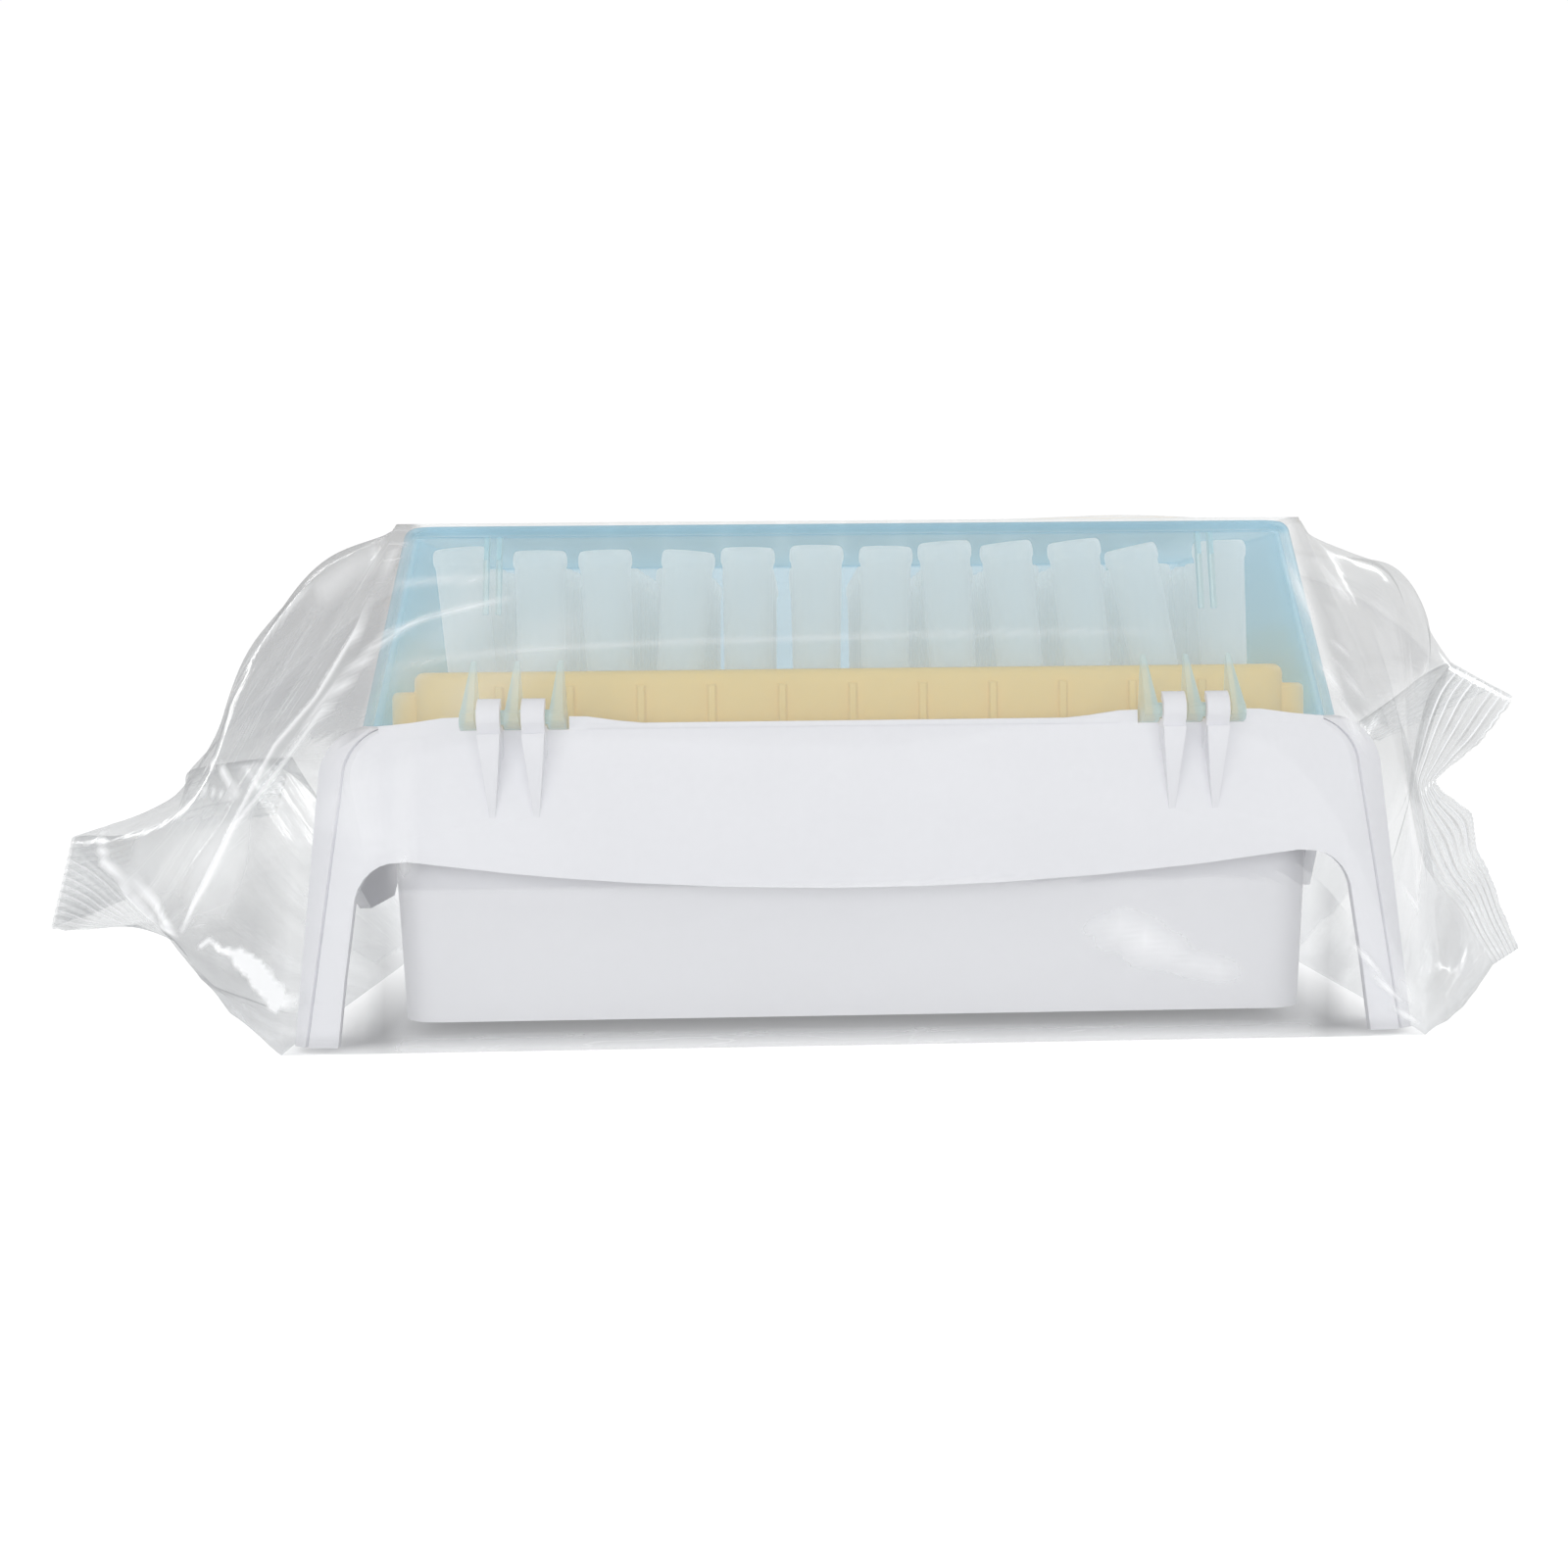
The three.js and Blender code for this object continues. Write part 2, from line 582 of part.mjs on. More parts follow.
// The two ends of the bag. Each row is a point on the line where a crimped seal begins, from the
// hinge side to the far side, then the matching point on its cut edge: distance beyond the feet,
// share of the half depth, share of the height.
const leftSeal = [
  [[13.0, -0.97, 0.215], [19.6, -0.84, 0.235]],
  [[13.9, -0.955, 0.223], [20.6, -0.825, 0.232]],
  [[14.7, -0.94, 0.231], [21.7, -0.81, 0.229]],
  [[15.4, -0.925, 0.239], [22.8, -0.79, 0.226]],
  [[16.1, -0.91, 0.246], [23.9, -0.77, 0.223]],
  [[16.9, -0.9, 0.254], [25.0, -0.755, 0.22]],
  [[21.7, -0.81, 0.302], [29.4, -0.71, 0.213]],
  [[30.6, -0.65, 0.383], [33.6, -0.63, 0.208]],
  [[29.6, -0.3, 0.377], [34.4, -0.31, 0.21]],
  [[28.2, 0.04, 0.398], [32.6, 0.04, 0.236]],
  [[31.0, 0.33, 0.445], [34.2, 0.34, 0.285]],
  [[33.7, 0.57, 0.483], [35.0, 0.58, 0.32]],
  [[32.2, 0.68, 0.49], [33.9, 0.7, 0.33]],
  [[30.2, 0.77, 0.494], [32.2, 0.79, 0.335]],
  [[27.8, 0.84, 0.497], [30.2, 0.86, 0.34]],
  [[25.2, 0.9, 0.499], [28.0, 0.92, 0.345]],
  [[22.4, 0.94, 0.5], [25.6, 0.96, 0.35]],
];
const rightSeal = [
  [[12.1, -0.79, 0.108], [16.3, -0.75, 0.137]],
  [[12.5, -0.64, 0.143], [17.2, -0.58, 0.195]],
  [[13.1, -0.49, 0.182], [18.5, -0.41, 0.257]],
  [[13.0, -0.3, 0.226], [18.8, -0.25, 0.312]],
  [[12.9, -0.17, 0.27], [20.2, -0.15, 0.375]],
  [[13.1, -0.08, 0.34], [18.2, -0.06, 0.412]],
  [[13.6, 0.0, 0.415], [18.3, 0.04, 0.438]],
  [[15.7, 0.09, 0.498], [22.6, 0.12, 0.478]],
  [[18.6, 0.19, 0.588], [28.0, 0.22, 0.522]],
  [[22.2, 0.3, 0.656], [32.3, 0.3, 0.575]],
  [[26.6, 0.41, 0.71], [35.7, 0.37, 0.62]],
  [[27.0, 0.54, 0.705], [36.4, 0.5, 0.64]],
  [[25.6, 0.64, 0.68], [34.6, 0.62, 0.63]],
  [[23.6, 0.73, 0.64], [32.2, 0.72, 0.6]],
  [[21.2, 0.81, 0.6], [29.4, 0.81, 0.57]],
  [[18.6, 0.88, 0.56], [26.4, 0.88, 0.54]],
  [[15.8, 0.94, 0.52], [23.2, 0.95, 0.51]],
];
const leftCornerHeights = [0, 13, 26];
const rightCornerHeights = [0, 1.2, 2.6, 4.5];

// How far the film stands off the straight run from the box to a seal, over the upper layer:
// outwards and upwards, a quarter, half and three quarters of the way along.
const bow = (out, up) => [0.75, 1, 0.75].map((share) => [out * share, up * share]);
const leftSwell = [
  bow(0.5, 0), bow(0.8, 0), bow(1, 0), bow(1, 0), bow(0.6, 0), bow(0, 0),
  [[0.3, 7], [0.8, 3], [-1, 0]],
  [[0, 7.6], [-1.2, 5], [-3.2, -4.2]],
  [[2.6, 9], [3.1, 7], [2, -2.4]],
  [[4, 8.9], [6.3, 5.8], [5.1, 0.1]],
  [[3.7, 7.8], [5.8, 4.6], [4.5, 0.3]],
  [[1.6, 4.2], [2.5, 2.8], [2, 1.9]],
  bow(3, 1), bow(3, 0), bow(2.5, 0), bow(2, 0), bow(1, 0),
];
const rightSwell = [
  bow(0.5, 0), bow(0.8, 0), bow(1, 0), bow(1, 0), bow(0.6, 0), bow(0, 0),
  [[2.2, 7.1], [4.5, 12], [3.5, 5]],
  [[4.9, 7], [6, 10.5], [5, 4.5]],
  [[5.6, 6.4], [8, 9.3], [6, 5.5]],
  [[5.6, 5.6], [8, 7], [5, 3.5]],
  [[5, 4.4], [7, 5.2], [4, 1.8]],
  bow(4, 3), bow(3, 1), bow(3, 0), bow(2.5, 0), bow(2, 0), bow(1, 0),
];
const lowerSwell = [2, -4]; // the same for the under side, in the middle

const last = leftSeal.length - 1;

function boxLoop(side) {
  const heights = side < 0 ? leftCornerHeights : rightCornerHeights;
  const front = [...heights.map(corner), shoulderAt, lidMiddle].slice(0, 5);
  if (side > 0) front.splice(4, 1, shoulderAt);
  const rise = [...front, [filmTopEnd, filmTopFront, filmTop]];
  const back = [
    [filmTopEnd, filmTopFront, filmTop], lidMiddle, shoulderAt, corner(26), corner(13), corner(0),
  ];
  const upper = [
    ...rise.map(([x, y, z]) => [x, -y, z]),
    ...endColumns.map((share) => [filmTopEnd, share * filmTopFront, filmTop]),
    ...back,
  ];
  const lower = [];
  for (let i = last - 1; i > 0; i -= 1) {
    const share = lerp(-1, 1, i / last);
    lower.push([filmEnd + 0.2, share * filmFront, 0]);
  }
  return [...upper, ...lower].map(([x, y, z]) => new THREE.Vector3(side * x, y, z));
}

// A station between the two hinges, where the film lies straight along the box.
function middleLoop(x) {
  const front = [[filmFront, 0], [filmFront, 13], [filmFront, 26], [filmFront - 0.1, pinZ + lift + 1.2],
    [(filmFront + filmTopFront) / 2, (pinZ + lift + filmTop) / 2 + 0.6], [filmTopFront, filmTop]];
  const upper = [
    ...front.map(([y, z]) => [-y, z]),
    ...topColumns.map((share) => [share * filmTopFront, filmTop]),
    ...front.slice().reverse(),
  ];
  const lower = [];
  for (let i = last - 1; i > 0; i -= 1) lower.push([lerp(-1, 1, i / last) * filmFront, 0]);
  return [...upper, ...lower].map(([y, z]) => new THREE.Vector3(x, y, z));
}

const sealPoint = (side, [out, across, up]) => new THREE.Vector3(
  side * (filmEnd + out), across * filmFront, up * filmTop,
);

// The crimped end: both layers on one line, held a hair apart across the seal's own face.
function sealLoops(side) {
  const rows = (side < 0 ? leftSeal : rightSeal).map((pair) => pair.map((p) => sealPoint(side, p)));
  const apart = film.wall + film.sealGap / 2;
  const loops = [[], []];
  rows.forEach((pair, i) => {
    const before = rows[Math.max(i - 1, 0)][0];
    const after = rows[Math.min(i + 1, last)][0];
    const along = after.clone().sub(before).normalize();
    const down = pair[1].clone().sub(pair[0]);
    const face = along.clone().cross(down).normalize().multiplyScalar(-side);
    pair.forEach((point, k) => {
      if (i === 0 || i === last) {
        loops[k][i] = point.clone().addScaledVector(along, i === 0 ? -apart : apart);
      } else {
        loops[k][i] = point.clone().addScaledVector(face, apart);
        loops[k][2 * last - i] = point.clone().addScaledVector(face, -apart);
      }
    });
  });
  return { inner: loops[0], cut: loops[1] };
}

// Stations of one end, from the box out to the cut edge.
function endStations(side) {
  const start = boxLoop(side);
  const { inner, cut } = sealLoops(side);
  const stations = [start];
  [0.25, 0.5, 0.75].forEach((v, k) => {
    stations.push(start.map((from, i) => {
      const bottom = Math.sin((Math.PI * (2 * last - i)) / last) * 4 * v * (1 - v);
      const swell = side < 0 ? leftSwell : rightSwell;
      const [out, up] = i <= last ? swell[i][k] : lowerSwell.map((value) => value * bottom);
      return from.clone().lerp(inner[i], v).add(new THREE.Vector3(side * out, 0, up));
    }));
  });
  return [...stations, inner, cut];
}

function makeFilm() {
  const left = endStations(-1).reverse();
  const right = endStations(1);
  const near = hinge.centre + hinge.spacing + hinge.gussetThickness + 2;
  const stations = [...left, middleLoop(-near), middleLoop(0), middleLoop(near), ...right];
  const count = 2 * last;
  const outer = stations.flat();
  const index = (station, i) => station * count + (i % count);
  const skin = [];
  for (let s = 0; s + 1 < stations.length; s += 1) {
    for (let i = 0; i < count; i += 1) {
      const [a, b, c, d] = [index(s, i), index(s, i + 1), index(s + 1, i + 1), index(s + 1, i)];
      skin.push(a, c, b, a, d, c);
    }
  }
  const outside = new THREE.BufferGeometry().setFromPoints(outer);
  outside.setIndex(skin);
  outside.computeVertexNormals();
  const normal = outside.attributes.normal;
  const points = [...outer];
  outer.forEach((point, i) => {
    const inward = new THREE.Vector3(normal.getX(i), normal.getY(i), normal.getZ(i)).multiplyScalar(-film.wall);
    points.push(point.clone().add(inward));
  });
  const faces = [...skin];
  for (let i = 0; i < skin.length; i += 3) {
    faces.push(skin[i] + outer.length, skin[i + 2] + outer.length, skin[i + 1] + outer.length);
  }
  for (const [station, flip] of [[0, true], [stations.length - 1, false]]) {
    for (let i = 0; i < count; i += 1) {
      const [a, b] = [index(station, i), index(station, i + 1)];
      const [c, d] = [b + outer.length, a + outer.length];
      if (flip) faces.push(a, b, c, a, c, d);
      else faces.push(a, c, b, a, d, c);
    }
  }
  const geometry = new THREE.BufferGeometry().setFromPoints(points);
  geometry.setIndex(faces);
  return solidOf(geometry);
}

// ---------------------------------------------------------------- assembly

const model = new THREE.Group();
const contents = new THREE.Group();
contents.position.z = lift;
model.add(contents);

contents.add(meshOf('base', makeBase(), white));
contents.add(meshOf('lid', makeLid(), blue));
contents.add(meshOf('tip_tray', makeTray(), yellow));

for (let row = 0; row < grid.rows; row += 1) {
  if (rowIsFused(row)) continue;
  for (let column = 0; column < grid.columns; column += 1) {
    const { x, y, rise, lean } = tipPose(row, column);
    const holder = new THREE.Group();
    holder.position.set(x, y, tray.deckHeight - tip.pivotBelowDeck);
    holder.rotation.y = THREE.MathUtils.degToRad(lean);
    const mesh = meshOf(`tip_${'ABCDEFGH'[row]}${column + 1}`, tipSolid, natural);
    mesh.position.z = tip.pivotBelowDeck + rise;
    holder.add(mesh);
    contents.add(holder);
  }
}

model.add(meshOf('film_wrap', makeFilm(), clear));

const extent = new THREE.Box3().setFromObject(model);
model.position.set(-(extent.min.x + extent.max.x) / 2, -(extent.min.y + extent.max.y) / 2, -extent.min.z);
model.updateMatrixWorld(true);

export default model;
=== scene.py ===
"""A hinged box of pipette tips, sealed in a clear flow-wrap film: the looks around its solids."""

import math
import random

import bmesh
import bpy
import numpy as np
from mathutils import Matrix, Vector, noise


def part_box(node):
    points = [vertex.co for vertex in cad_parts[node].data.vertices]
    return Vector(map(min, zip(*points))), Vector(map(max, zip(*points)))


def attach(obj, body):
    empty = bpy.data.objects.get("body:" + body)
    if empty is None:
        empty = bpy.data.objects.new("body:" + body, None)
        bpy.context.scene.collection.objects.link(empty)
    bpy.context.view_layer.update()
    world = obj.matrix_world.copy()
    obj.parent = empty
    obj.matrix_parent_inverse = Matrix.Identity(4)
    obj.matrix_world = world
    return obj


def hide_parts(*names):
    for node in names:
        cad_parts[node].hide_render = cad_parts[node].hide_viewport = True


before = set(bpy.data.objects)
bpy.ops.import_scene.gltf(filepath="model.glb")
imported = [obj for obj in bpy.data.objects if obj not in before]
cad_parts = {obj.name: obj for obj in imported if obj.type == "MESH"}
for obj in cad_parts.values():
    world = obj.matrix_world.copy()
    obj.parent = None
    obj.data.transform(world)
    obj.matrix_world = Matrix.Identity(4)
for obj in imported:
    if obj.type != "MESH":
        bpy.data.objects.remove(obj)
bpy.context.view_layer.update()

MM = 0.001
base_low, base_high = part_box("base")
FOOT_HALF_DEPTH = 52.5
ORIGIN = Vector(((base_low.x + base_high.x) / 2, base_high.y - FOOT_HALF_DEPTH * MM, base_low.z))


def at(x, y, z):
    """A place in millimetres from the middle of the box, above the soles of its feet."""
    return ORIGIN + Vector((x, y, z)) * MM


# ---------------------------------------------------------------- Base
# The base is one injection moulding in white polypropylene: a tub inside a skirt whose corners run
# down as legs. The skirt's lower edge arches between the legs, and two pairs of open hooks on the
# hinge side take the lid's pins.

CLEARANCE = 0.3  # between pieces that rest in or on each other
RIM_HEIGHT = 39
LIP_HEIGHT = 1
SEAT_HEIGHT = 38.25  # the ledge inside the lip, under the lid
BASE_WALL = 1.6
TUB_FLOOR = 1.2
TUB_TOP = RIM_HEIGHT - LIP_HEIGHT
TUB_WALL = 1.5
TUB_CORNER = 5
TUB_FLOOR_HALF = (57.7, 41.6)
TUB_TOP_HALF = (59.4, 43.4)
SHOULDER_RADIUS = 6.8
RIM_HALF = (60, 48)
FOOT_HALF = (69, FOOT_HALF_DEPTH)
SHOULDER_HEIGHT = RIM_HEIGHT - SHOULDER_RADIUS
LEG_TURN = 0.5  # the long face turns back this far towards each corner
STRIP_BACK = 0.6  # each corner's strip stands this far behind the long face, beyond a fine groove
CORNER_FOOT, CORNER_TOP = 2, 3.8  # the skirt's corner chamfer
LEG_INNER = ((63.5, -2), (62.6, 8), (61.6, 16.6))  # a leg's inner edge, x and z
ARCH_CORNER = (5, 5.6)  # from the leg to the arch, along x and z
ARCH_MIDDLE, ARCH_RISE, ARCH_HALF = 18.4, 4.1, 56.5
SIDE_LEG = ((39, -2), (38, 15.5), (37.2, 17.8), (35, 19.5))  # the same edge on an end, y and z
SIDE_TAB = ((-30, 19.5), (-15, 13), (2, 13), (9, 19.5))
HINGE_CENTRE = 42
GUSSET_SPACING = 5.4
GUSSET_WIDTH = 1
PIN_RADIUS = 0.9
PIN = (-50, RIM_HEIGHT + 0.9)  # y and z of the pins' axis
HOOK_INNER = PIN_RADIUS + CLEARANCE
HOOK_OUTER = HOOK_INNER + 1.1
HOOK_WIDTH = 2.8
HOOK_FOOT = 35
HOOK_RIB_FOOT = 27.6
RIM_SWELL = ((0, 39.9), (2.2, 39.85), (6, 39.3), (10, 38.9))  # how the rim falls away beside a hinge
LIP_BEAD = (33, 0.3)  # half length, and how far it stands out
NIB = ((33.5, 0.1), (35, 0.7), (36.5, 0.1))  # the catch's nib: heights, and how far it stands out
NIB_HALF = 9
LID_FOOT_HALF = (62.3, 46.2)
LID_FOOT_CORNER = 7


def begin():
    """Object mode, with nothing selected."""
    if bpy.context.object and bpy.context.object.mode != "OBJECT":
        bpy.ops.object.mode_set(mode="OBJECT")
    bpy.ops.object.select_all(action="DESELECT")


def pick(piece):
    begin()
    piece.select_set(True)
    bpy.context.view_layer.objects.active = piece


def mix(a, b, share):
    return a + (b - a) * share


def outline(name, points):
    """A flat face with a corner at each point: a filled circle pulled to shape."""
    begin()
    bpy.ops.mesh.primitive_circle_add(vertices=len(points), radius=1, fill_type="NGON")
    piece = bpy.context.object
    piece.name = piece.data.name = name
    for vertex, point in zip(piece.data.vertices, points):
        vertex.co = at(*point)
    return piece


def loft(name, rings, capped=True):
    """A first outline extruded from ring to ring."""
    piece = outline(name, rings[0])
    bpy.ops.object.mode_set(mode="EDIT")
    bpy.ops.mesh.select_mode(type="FACE")
    bpy.ops.mesh.select_all(action="SELECT")
    for before, after in zip(rings, rings[1:]):
        bpy.ops.mesh.extrude_region_move()
        shape = bmesh.from_edit_mesh(piece.data)
        old = np.array([at(*p) for p in before])
        for vertex in (v for v in shape.verts if v.select):
            nearest = int(((old - np.array(vertex.co)) ** 2).sum(1).argmin())
            vertex.co = at(*after[nearest])
        bmesh.update_edit_mesh(piece.data)
    if not capped:
        bpy.ops.mesh.select_all(action="DESELECT")
        shape = bmesh.from_edit_mesh(piece.data)
        for face in shape.faces:
            face.select = len(face.verts) > 4
        bmesh.update_edit_mesh(piece.data)
        bpy.ops.mesh.delete(type="FACE")
    bpy.ops.mesh.select_all(action="SELECT")
    bpy.ops.mesh.remove_doubles(threshold=0.004 * MM)
    bpy.ops.mesh.normals_make_consistent(inside=False)
    bpy.ops.object.mode_set(mode="OBJECT")
    return piece


def along(name, axis, points, low, high):
    """A flat outline pushed along X or Y from low to high."""
    place = (lambda a, b, c: (c, a, b)) if axis == "X" else (lambda a, b, c: (a, c, b))
    return loft(name, [[place(a, b, c) for a, b in points] for c in (low, high)])


def block(name, low, high):
    (x0, y0, z0), (x1, y1, z1) = low, high
    return loft(name, [[(x0, y0, z), (x1, y0, z), (x1, y1, z), (x0, y1, z)] for z in (z0, z1)])


def round_corners(half, radius, z, steps=6):
    """A rounded rectangle in plan, as a ring of points."""
    ring = []
    for quarter, (sx, sy) in enumerate(((1, 1), (-1, 1), (-1, -1), (1, -1))):
        for i in range(steps + 1):
            angle = (quarter + i / steps) * math.pi / 2
            x = sx * (half[0] - radius) + radius * math.cos(angle)
            ring.append((x, sy * (half[1] - radius) + radius * math.sin(angle), z))
    return ring


def combine(piece, other, operation):
    modifier = piece.modifiers.new("combine", "BOOLEAN")
    modifier.operation = operation
    modifier.solver = "EXACT"
    modifier.object = other
    pick(piece)
    bpy.ops.object.modifier_apply(modifier=modifier.name)
    bpy.data.objects.remove(other)


def cut(piece, *cutters):
    for cutter in cutters:
        combine(piece, cutter, "DIFFERENCE")


def weld(piece, *others):
    for other in others:
        combine(piece, other, "UNION")
    return piece


def soften(piece, width, segments=2, angle=32):
    """Rounds the moulding's edges and smooths its shading."""
    pick(piece)
    bpy.ops.object.mode_set(mode="EDIT")
    bpy.ops.mesh.select_all(action="SELECT")
    bpy.ops.mesh.remove_doubles(threshold=0.02 * MM)
    bpy.ops.mesh.dissolve_limited(angle_limit=math.radians(1))
    bpy.ops.object.mode_set(mode="OBJECT")
    if width:
        modifier = piece.modifiers.new("edges", "BEVEL")
        modifier.width = width * MM
        modifier.segments = segments
        modifier.limit_method = "ANGLE"
        modifier.angle_limit = math.radians(angle)
        modifier.use_clamp_overlap = True
        bpy.ops.object.modifier_apply(modifier=modifier.name)
    bpy.ops.object.shade_smooth_by_angle(angle=math.radians(angle))


def dress(piece, material, slot, *nodes):
    """Gives a finished piece its material and its place on the frame."""
    piece.data.materials.clear()
    piece.data.materials.append(material)
    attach(piece, "root")
    if nodes:
        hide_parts(*nodes)


def skirt_half_depth(z):
    return mix(FOOT_HALF[1], RIM_HALF[1], z / RIM_HEIGHT)


def skirt_ring(z, half_length, shrink):
    """The skirt's plan at one height; its long faces turn back a little over the legs."""
    share = min(z / SHOULDER_HEIGHT, 1)
    corner = mix(CORNER_FOOT, CORNER_TOP, share)
    face = half_length - corner
    turn = min(0.9 + max(SHOULDER_HEIGHT - z, 0) / 3, 5)
    depth = skirt_half_depth(z) - shrink
    quarter = [
        (face - turn, depth),
        (face, depth - LEG_TURN),
        (face + 0.15, depth - LEG_TURN - STRIP_BACK - 0.6),
        (face + 0.5, depth - LEG_TURN - STRIP_BACK),
        (half_length - shrink, depth - LEG_TURN - corner * 0.8 - 0.2),
    ]
    signs = ((1, 1, True), (-1, 1, False), (-1, -1, True), (1, -1, False))
    ring = []
    for sx, sy, backwards in signs:
        ring += [(sx * x, sy * y, z) for x, y in (quarter[::-1] if backwards else quarter)]
    return ring


def skirt_body(name, shrink, drop):
    rings = []
    for z in (-drop, 8, SHOULDER_HEIGHT / 2, 24, SHOULDER_HEIGHT):
        half = mix(FOOT_HALF[0], RIM_HALF[0] + SHOULDER_RADIUS, z / SHOULDER_HEIGHT)
        rings.append(skirt_ring(z, half, shrink))
    radius = SHOULDER_RADIUS - shrink
    for i in range(1, 13):
        angle = i / 12 * math.pi / 2
        z = SHOULDER_HEIGHT + radius * math.sin(angle)
        rings.append(skirt_ring(z, RIM_HALF[0] + shrink + radius * math.cos(angle), shrink))
    return loft(name, rings)


def front_arch():
    """The gap under the long sides: straight legs, a round corner and a shallow arch."""
    points = list(LEG_INNER)
    x0, z0 = points[-1]
    for i in range(1, 7):
        angle = i / 6 * math.pi / 2 * 0.9
        points.append((x0 - ARCH_CORNER[0] * (1 - math.cos(angle)), z0 + ARCH_CORNER[1] * math.sin(angle)))
    for i in range(19):
        x = mix(55, 0, i / 18)
        points.append((x, ARCH_MIDDLE + ARCH_RISE * (x / ARCH_HALF) ** 2))
    points += [(-x, z) for x, z in points[-2::-1]]
    return along("arch", "Y", points, -58, 58)


def side_arch(side):
    """The gap under one end, with a finger tab that hangs lower."""
    points = [*((-y, z) for y, z in SIDE_LEG), *SIDE_TAB, *SIDE_LEG[::-1]]
    turned = points if side < 0 else [(-y, z) for y, z in points]
    return along("side_gap", "X", turned, *sorted((side * 76, 0)))


def hook(x):
    """An open hook for the lid's pin, on a rib that tapers away down the skirt."""
    def arc(radius, start, stop, steps):
        for i in range(steps + 1):
            angle = math.radians(mix(start, stop, i / steps))
            yield PIN[0] + radius * math.cos(angle), PIN[1] + radius * math.sin(angle)

    half = HOOK_WIDTH / 2
    points = [
        *arc(HOOK_OUTER, 95, 200, 12), (-skirt_half_depth(HOOK_FOOT) - 0.6, HOOK_FOOT),
        (-RIM_HALF[1] + 1, HOOK_FOOT), (-RIM_HALF[1] + 1, 37.8), *arc(HOOK_INNER, 290, 95, 16),
    ]
    ring = along("hook", "X", points, x - half, x + half)

    def section(z, front, width):
        inner = -skirt_half_depth(z) + 1
        return [(x + width, inner, z), (x - width, inner, z), (x - width, front, z), (x + width, front, z)]

    front = PIN[0] - HOOK_OUTER
    rib = loft("rib", [
        section(HOOK_RIB_FOOT, -skirt_half_depth(HOOK_RIB_FOOT) - 0.05, 0.35),
        section(HOOK_FOOT, front + 1, half * 0.8),
        section(PIN[1] - 0.8 - HOOK_INNER, front + 0.15, half),
    ])
    return weld(ring, rib)


def tub_body(name, by, low, high):
    rings = []
    for z in (low, high):
        share = (z - TUB_FLOOR) / (TUB_TOP - TUB_FLOOR)
        half = [mix(foot, top, share) - by for foot, top in zip(TUB_FLOOR_HALF, TUB_TOP_HALF)]
        rings.append(round_corners(half, TUB_CORNER - by, z))
    return loft(name, rings)


base = skirt_body("tip_box_base", 0, 0)
cut(base, skirt_body("inside", BASE_WALL, 1), front_arch(), side_arch(-1), side_arch(1))
weld(base, tub_body("tub", 0, TUB_FLOOR, TUB_TOP))
cut(base, tub_body("tub_inside", TUB_WALL, TUB_FLOOR + TUB_WALL, RIM_HEIGHT + 3))
seat_half = [half + 0.5 for half in LID_FOOT_HALF]
cut(base, loft("seat", [round_corners(seat_half, LID_FOOT_CORNER, z) for z in (SEAT_HEIGHT, RIM_HEIGHT + 3)]))
hinge_gap = GUSSET_SPACING + GUSSET_WIDTH / 2 + 0.8
for side in (-1, 1):
    x = side * HINGE_CENTRE
    cut(base, block("notch", (x - hinge_gap, -50, SEAT_HEIGHT), (x + hinge_gap, -42, RIM_HEIGHT + 3)))
for side in (-1, 1):
    for end in (-1, 1):
        start = side * HINGE_CENTRE + end * hinge_gap
        top = [(start + end * away, height) for away, height in RIM_SWELL]
        ring = [(start, TUB_TOP - 0.1), *top, (top[-1][0], TUB_TOP - 0.1)]
        weld(base, along("swell", "Y", ring, -RIM_HALF[1], 1.1 - RIM_HALF[1]))
    for step in (-0.5, 0.5):
        weld(base, hook(side * HINGE_CENTRE + step * GUSSET_SPACING))
lip_low = (-LIP_BEAD[0], -RIM_HALF[1] - LIP_BEAD[1], TUB_TOP + 0.35)
weld(base, block("lip", lip_low, (LIP_BEAD[0], 1 - RIM_HALF[1], RIM_HEIGHT)))
nib = [(skirt_half_depth(z) + out, z) for z, out in NIB]
root = [(skirt_half_depth(z) - 0.5, z) for z in (NIB[0][0], NIB[-1][0])]
weld(base, along("nib", "X", [root[0], *nib, root[1]], -NIB_HALF, NIB_HALF))
soften(base, 0.3, angle=24)


def node(tree, kind, inputs=None, **settings):
    """A shader node with its settings, and a value or a link on each of the inputs given."""
    made = tree.nodes.new("ShaderNode" + kind)
    for name, value in settings.items():
        setattr(made, name, value)
    for slot, value in (inputs or {}).items():
        if isinstance(value, bpy.types.NodeSocket):
            tree.links.new(value, made.inputs[slot])
        else:
            made.inputs[slot].default_value = value
    return made


def maths(tree, operation, *values):
    return node(tree, "Math", dict(enumerate(values)), operation=operation).outputs[0]


def blend(tree, share, first, second, kind="MIX"):
    """One colour laid over another."""
    return node(tree, "Mix", {0: share, 6: first, 7: second}, data_type="RGBA", blend_type=kind).outputs[2]


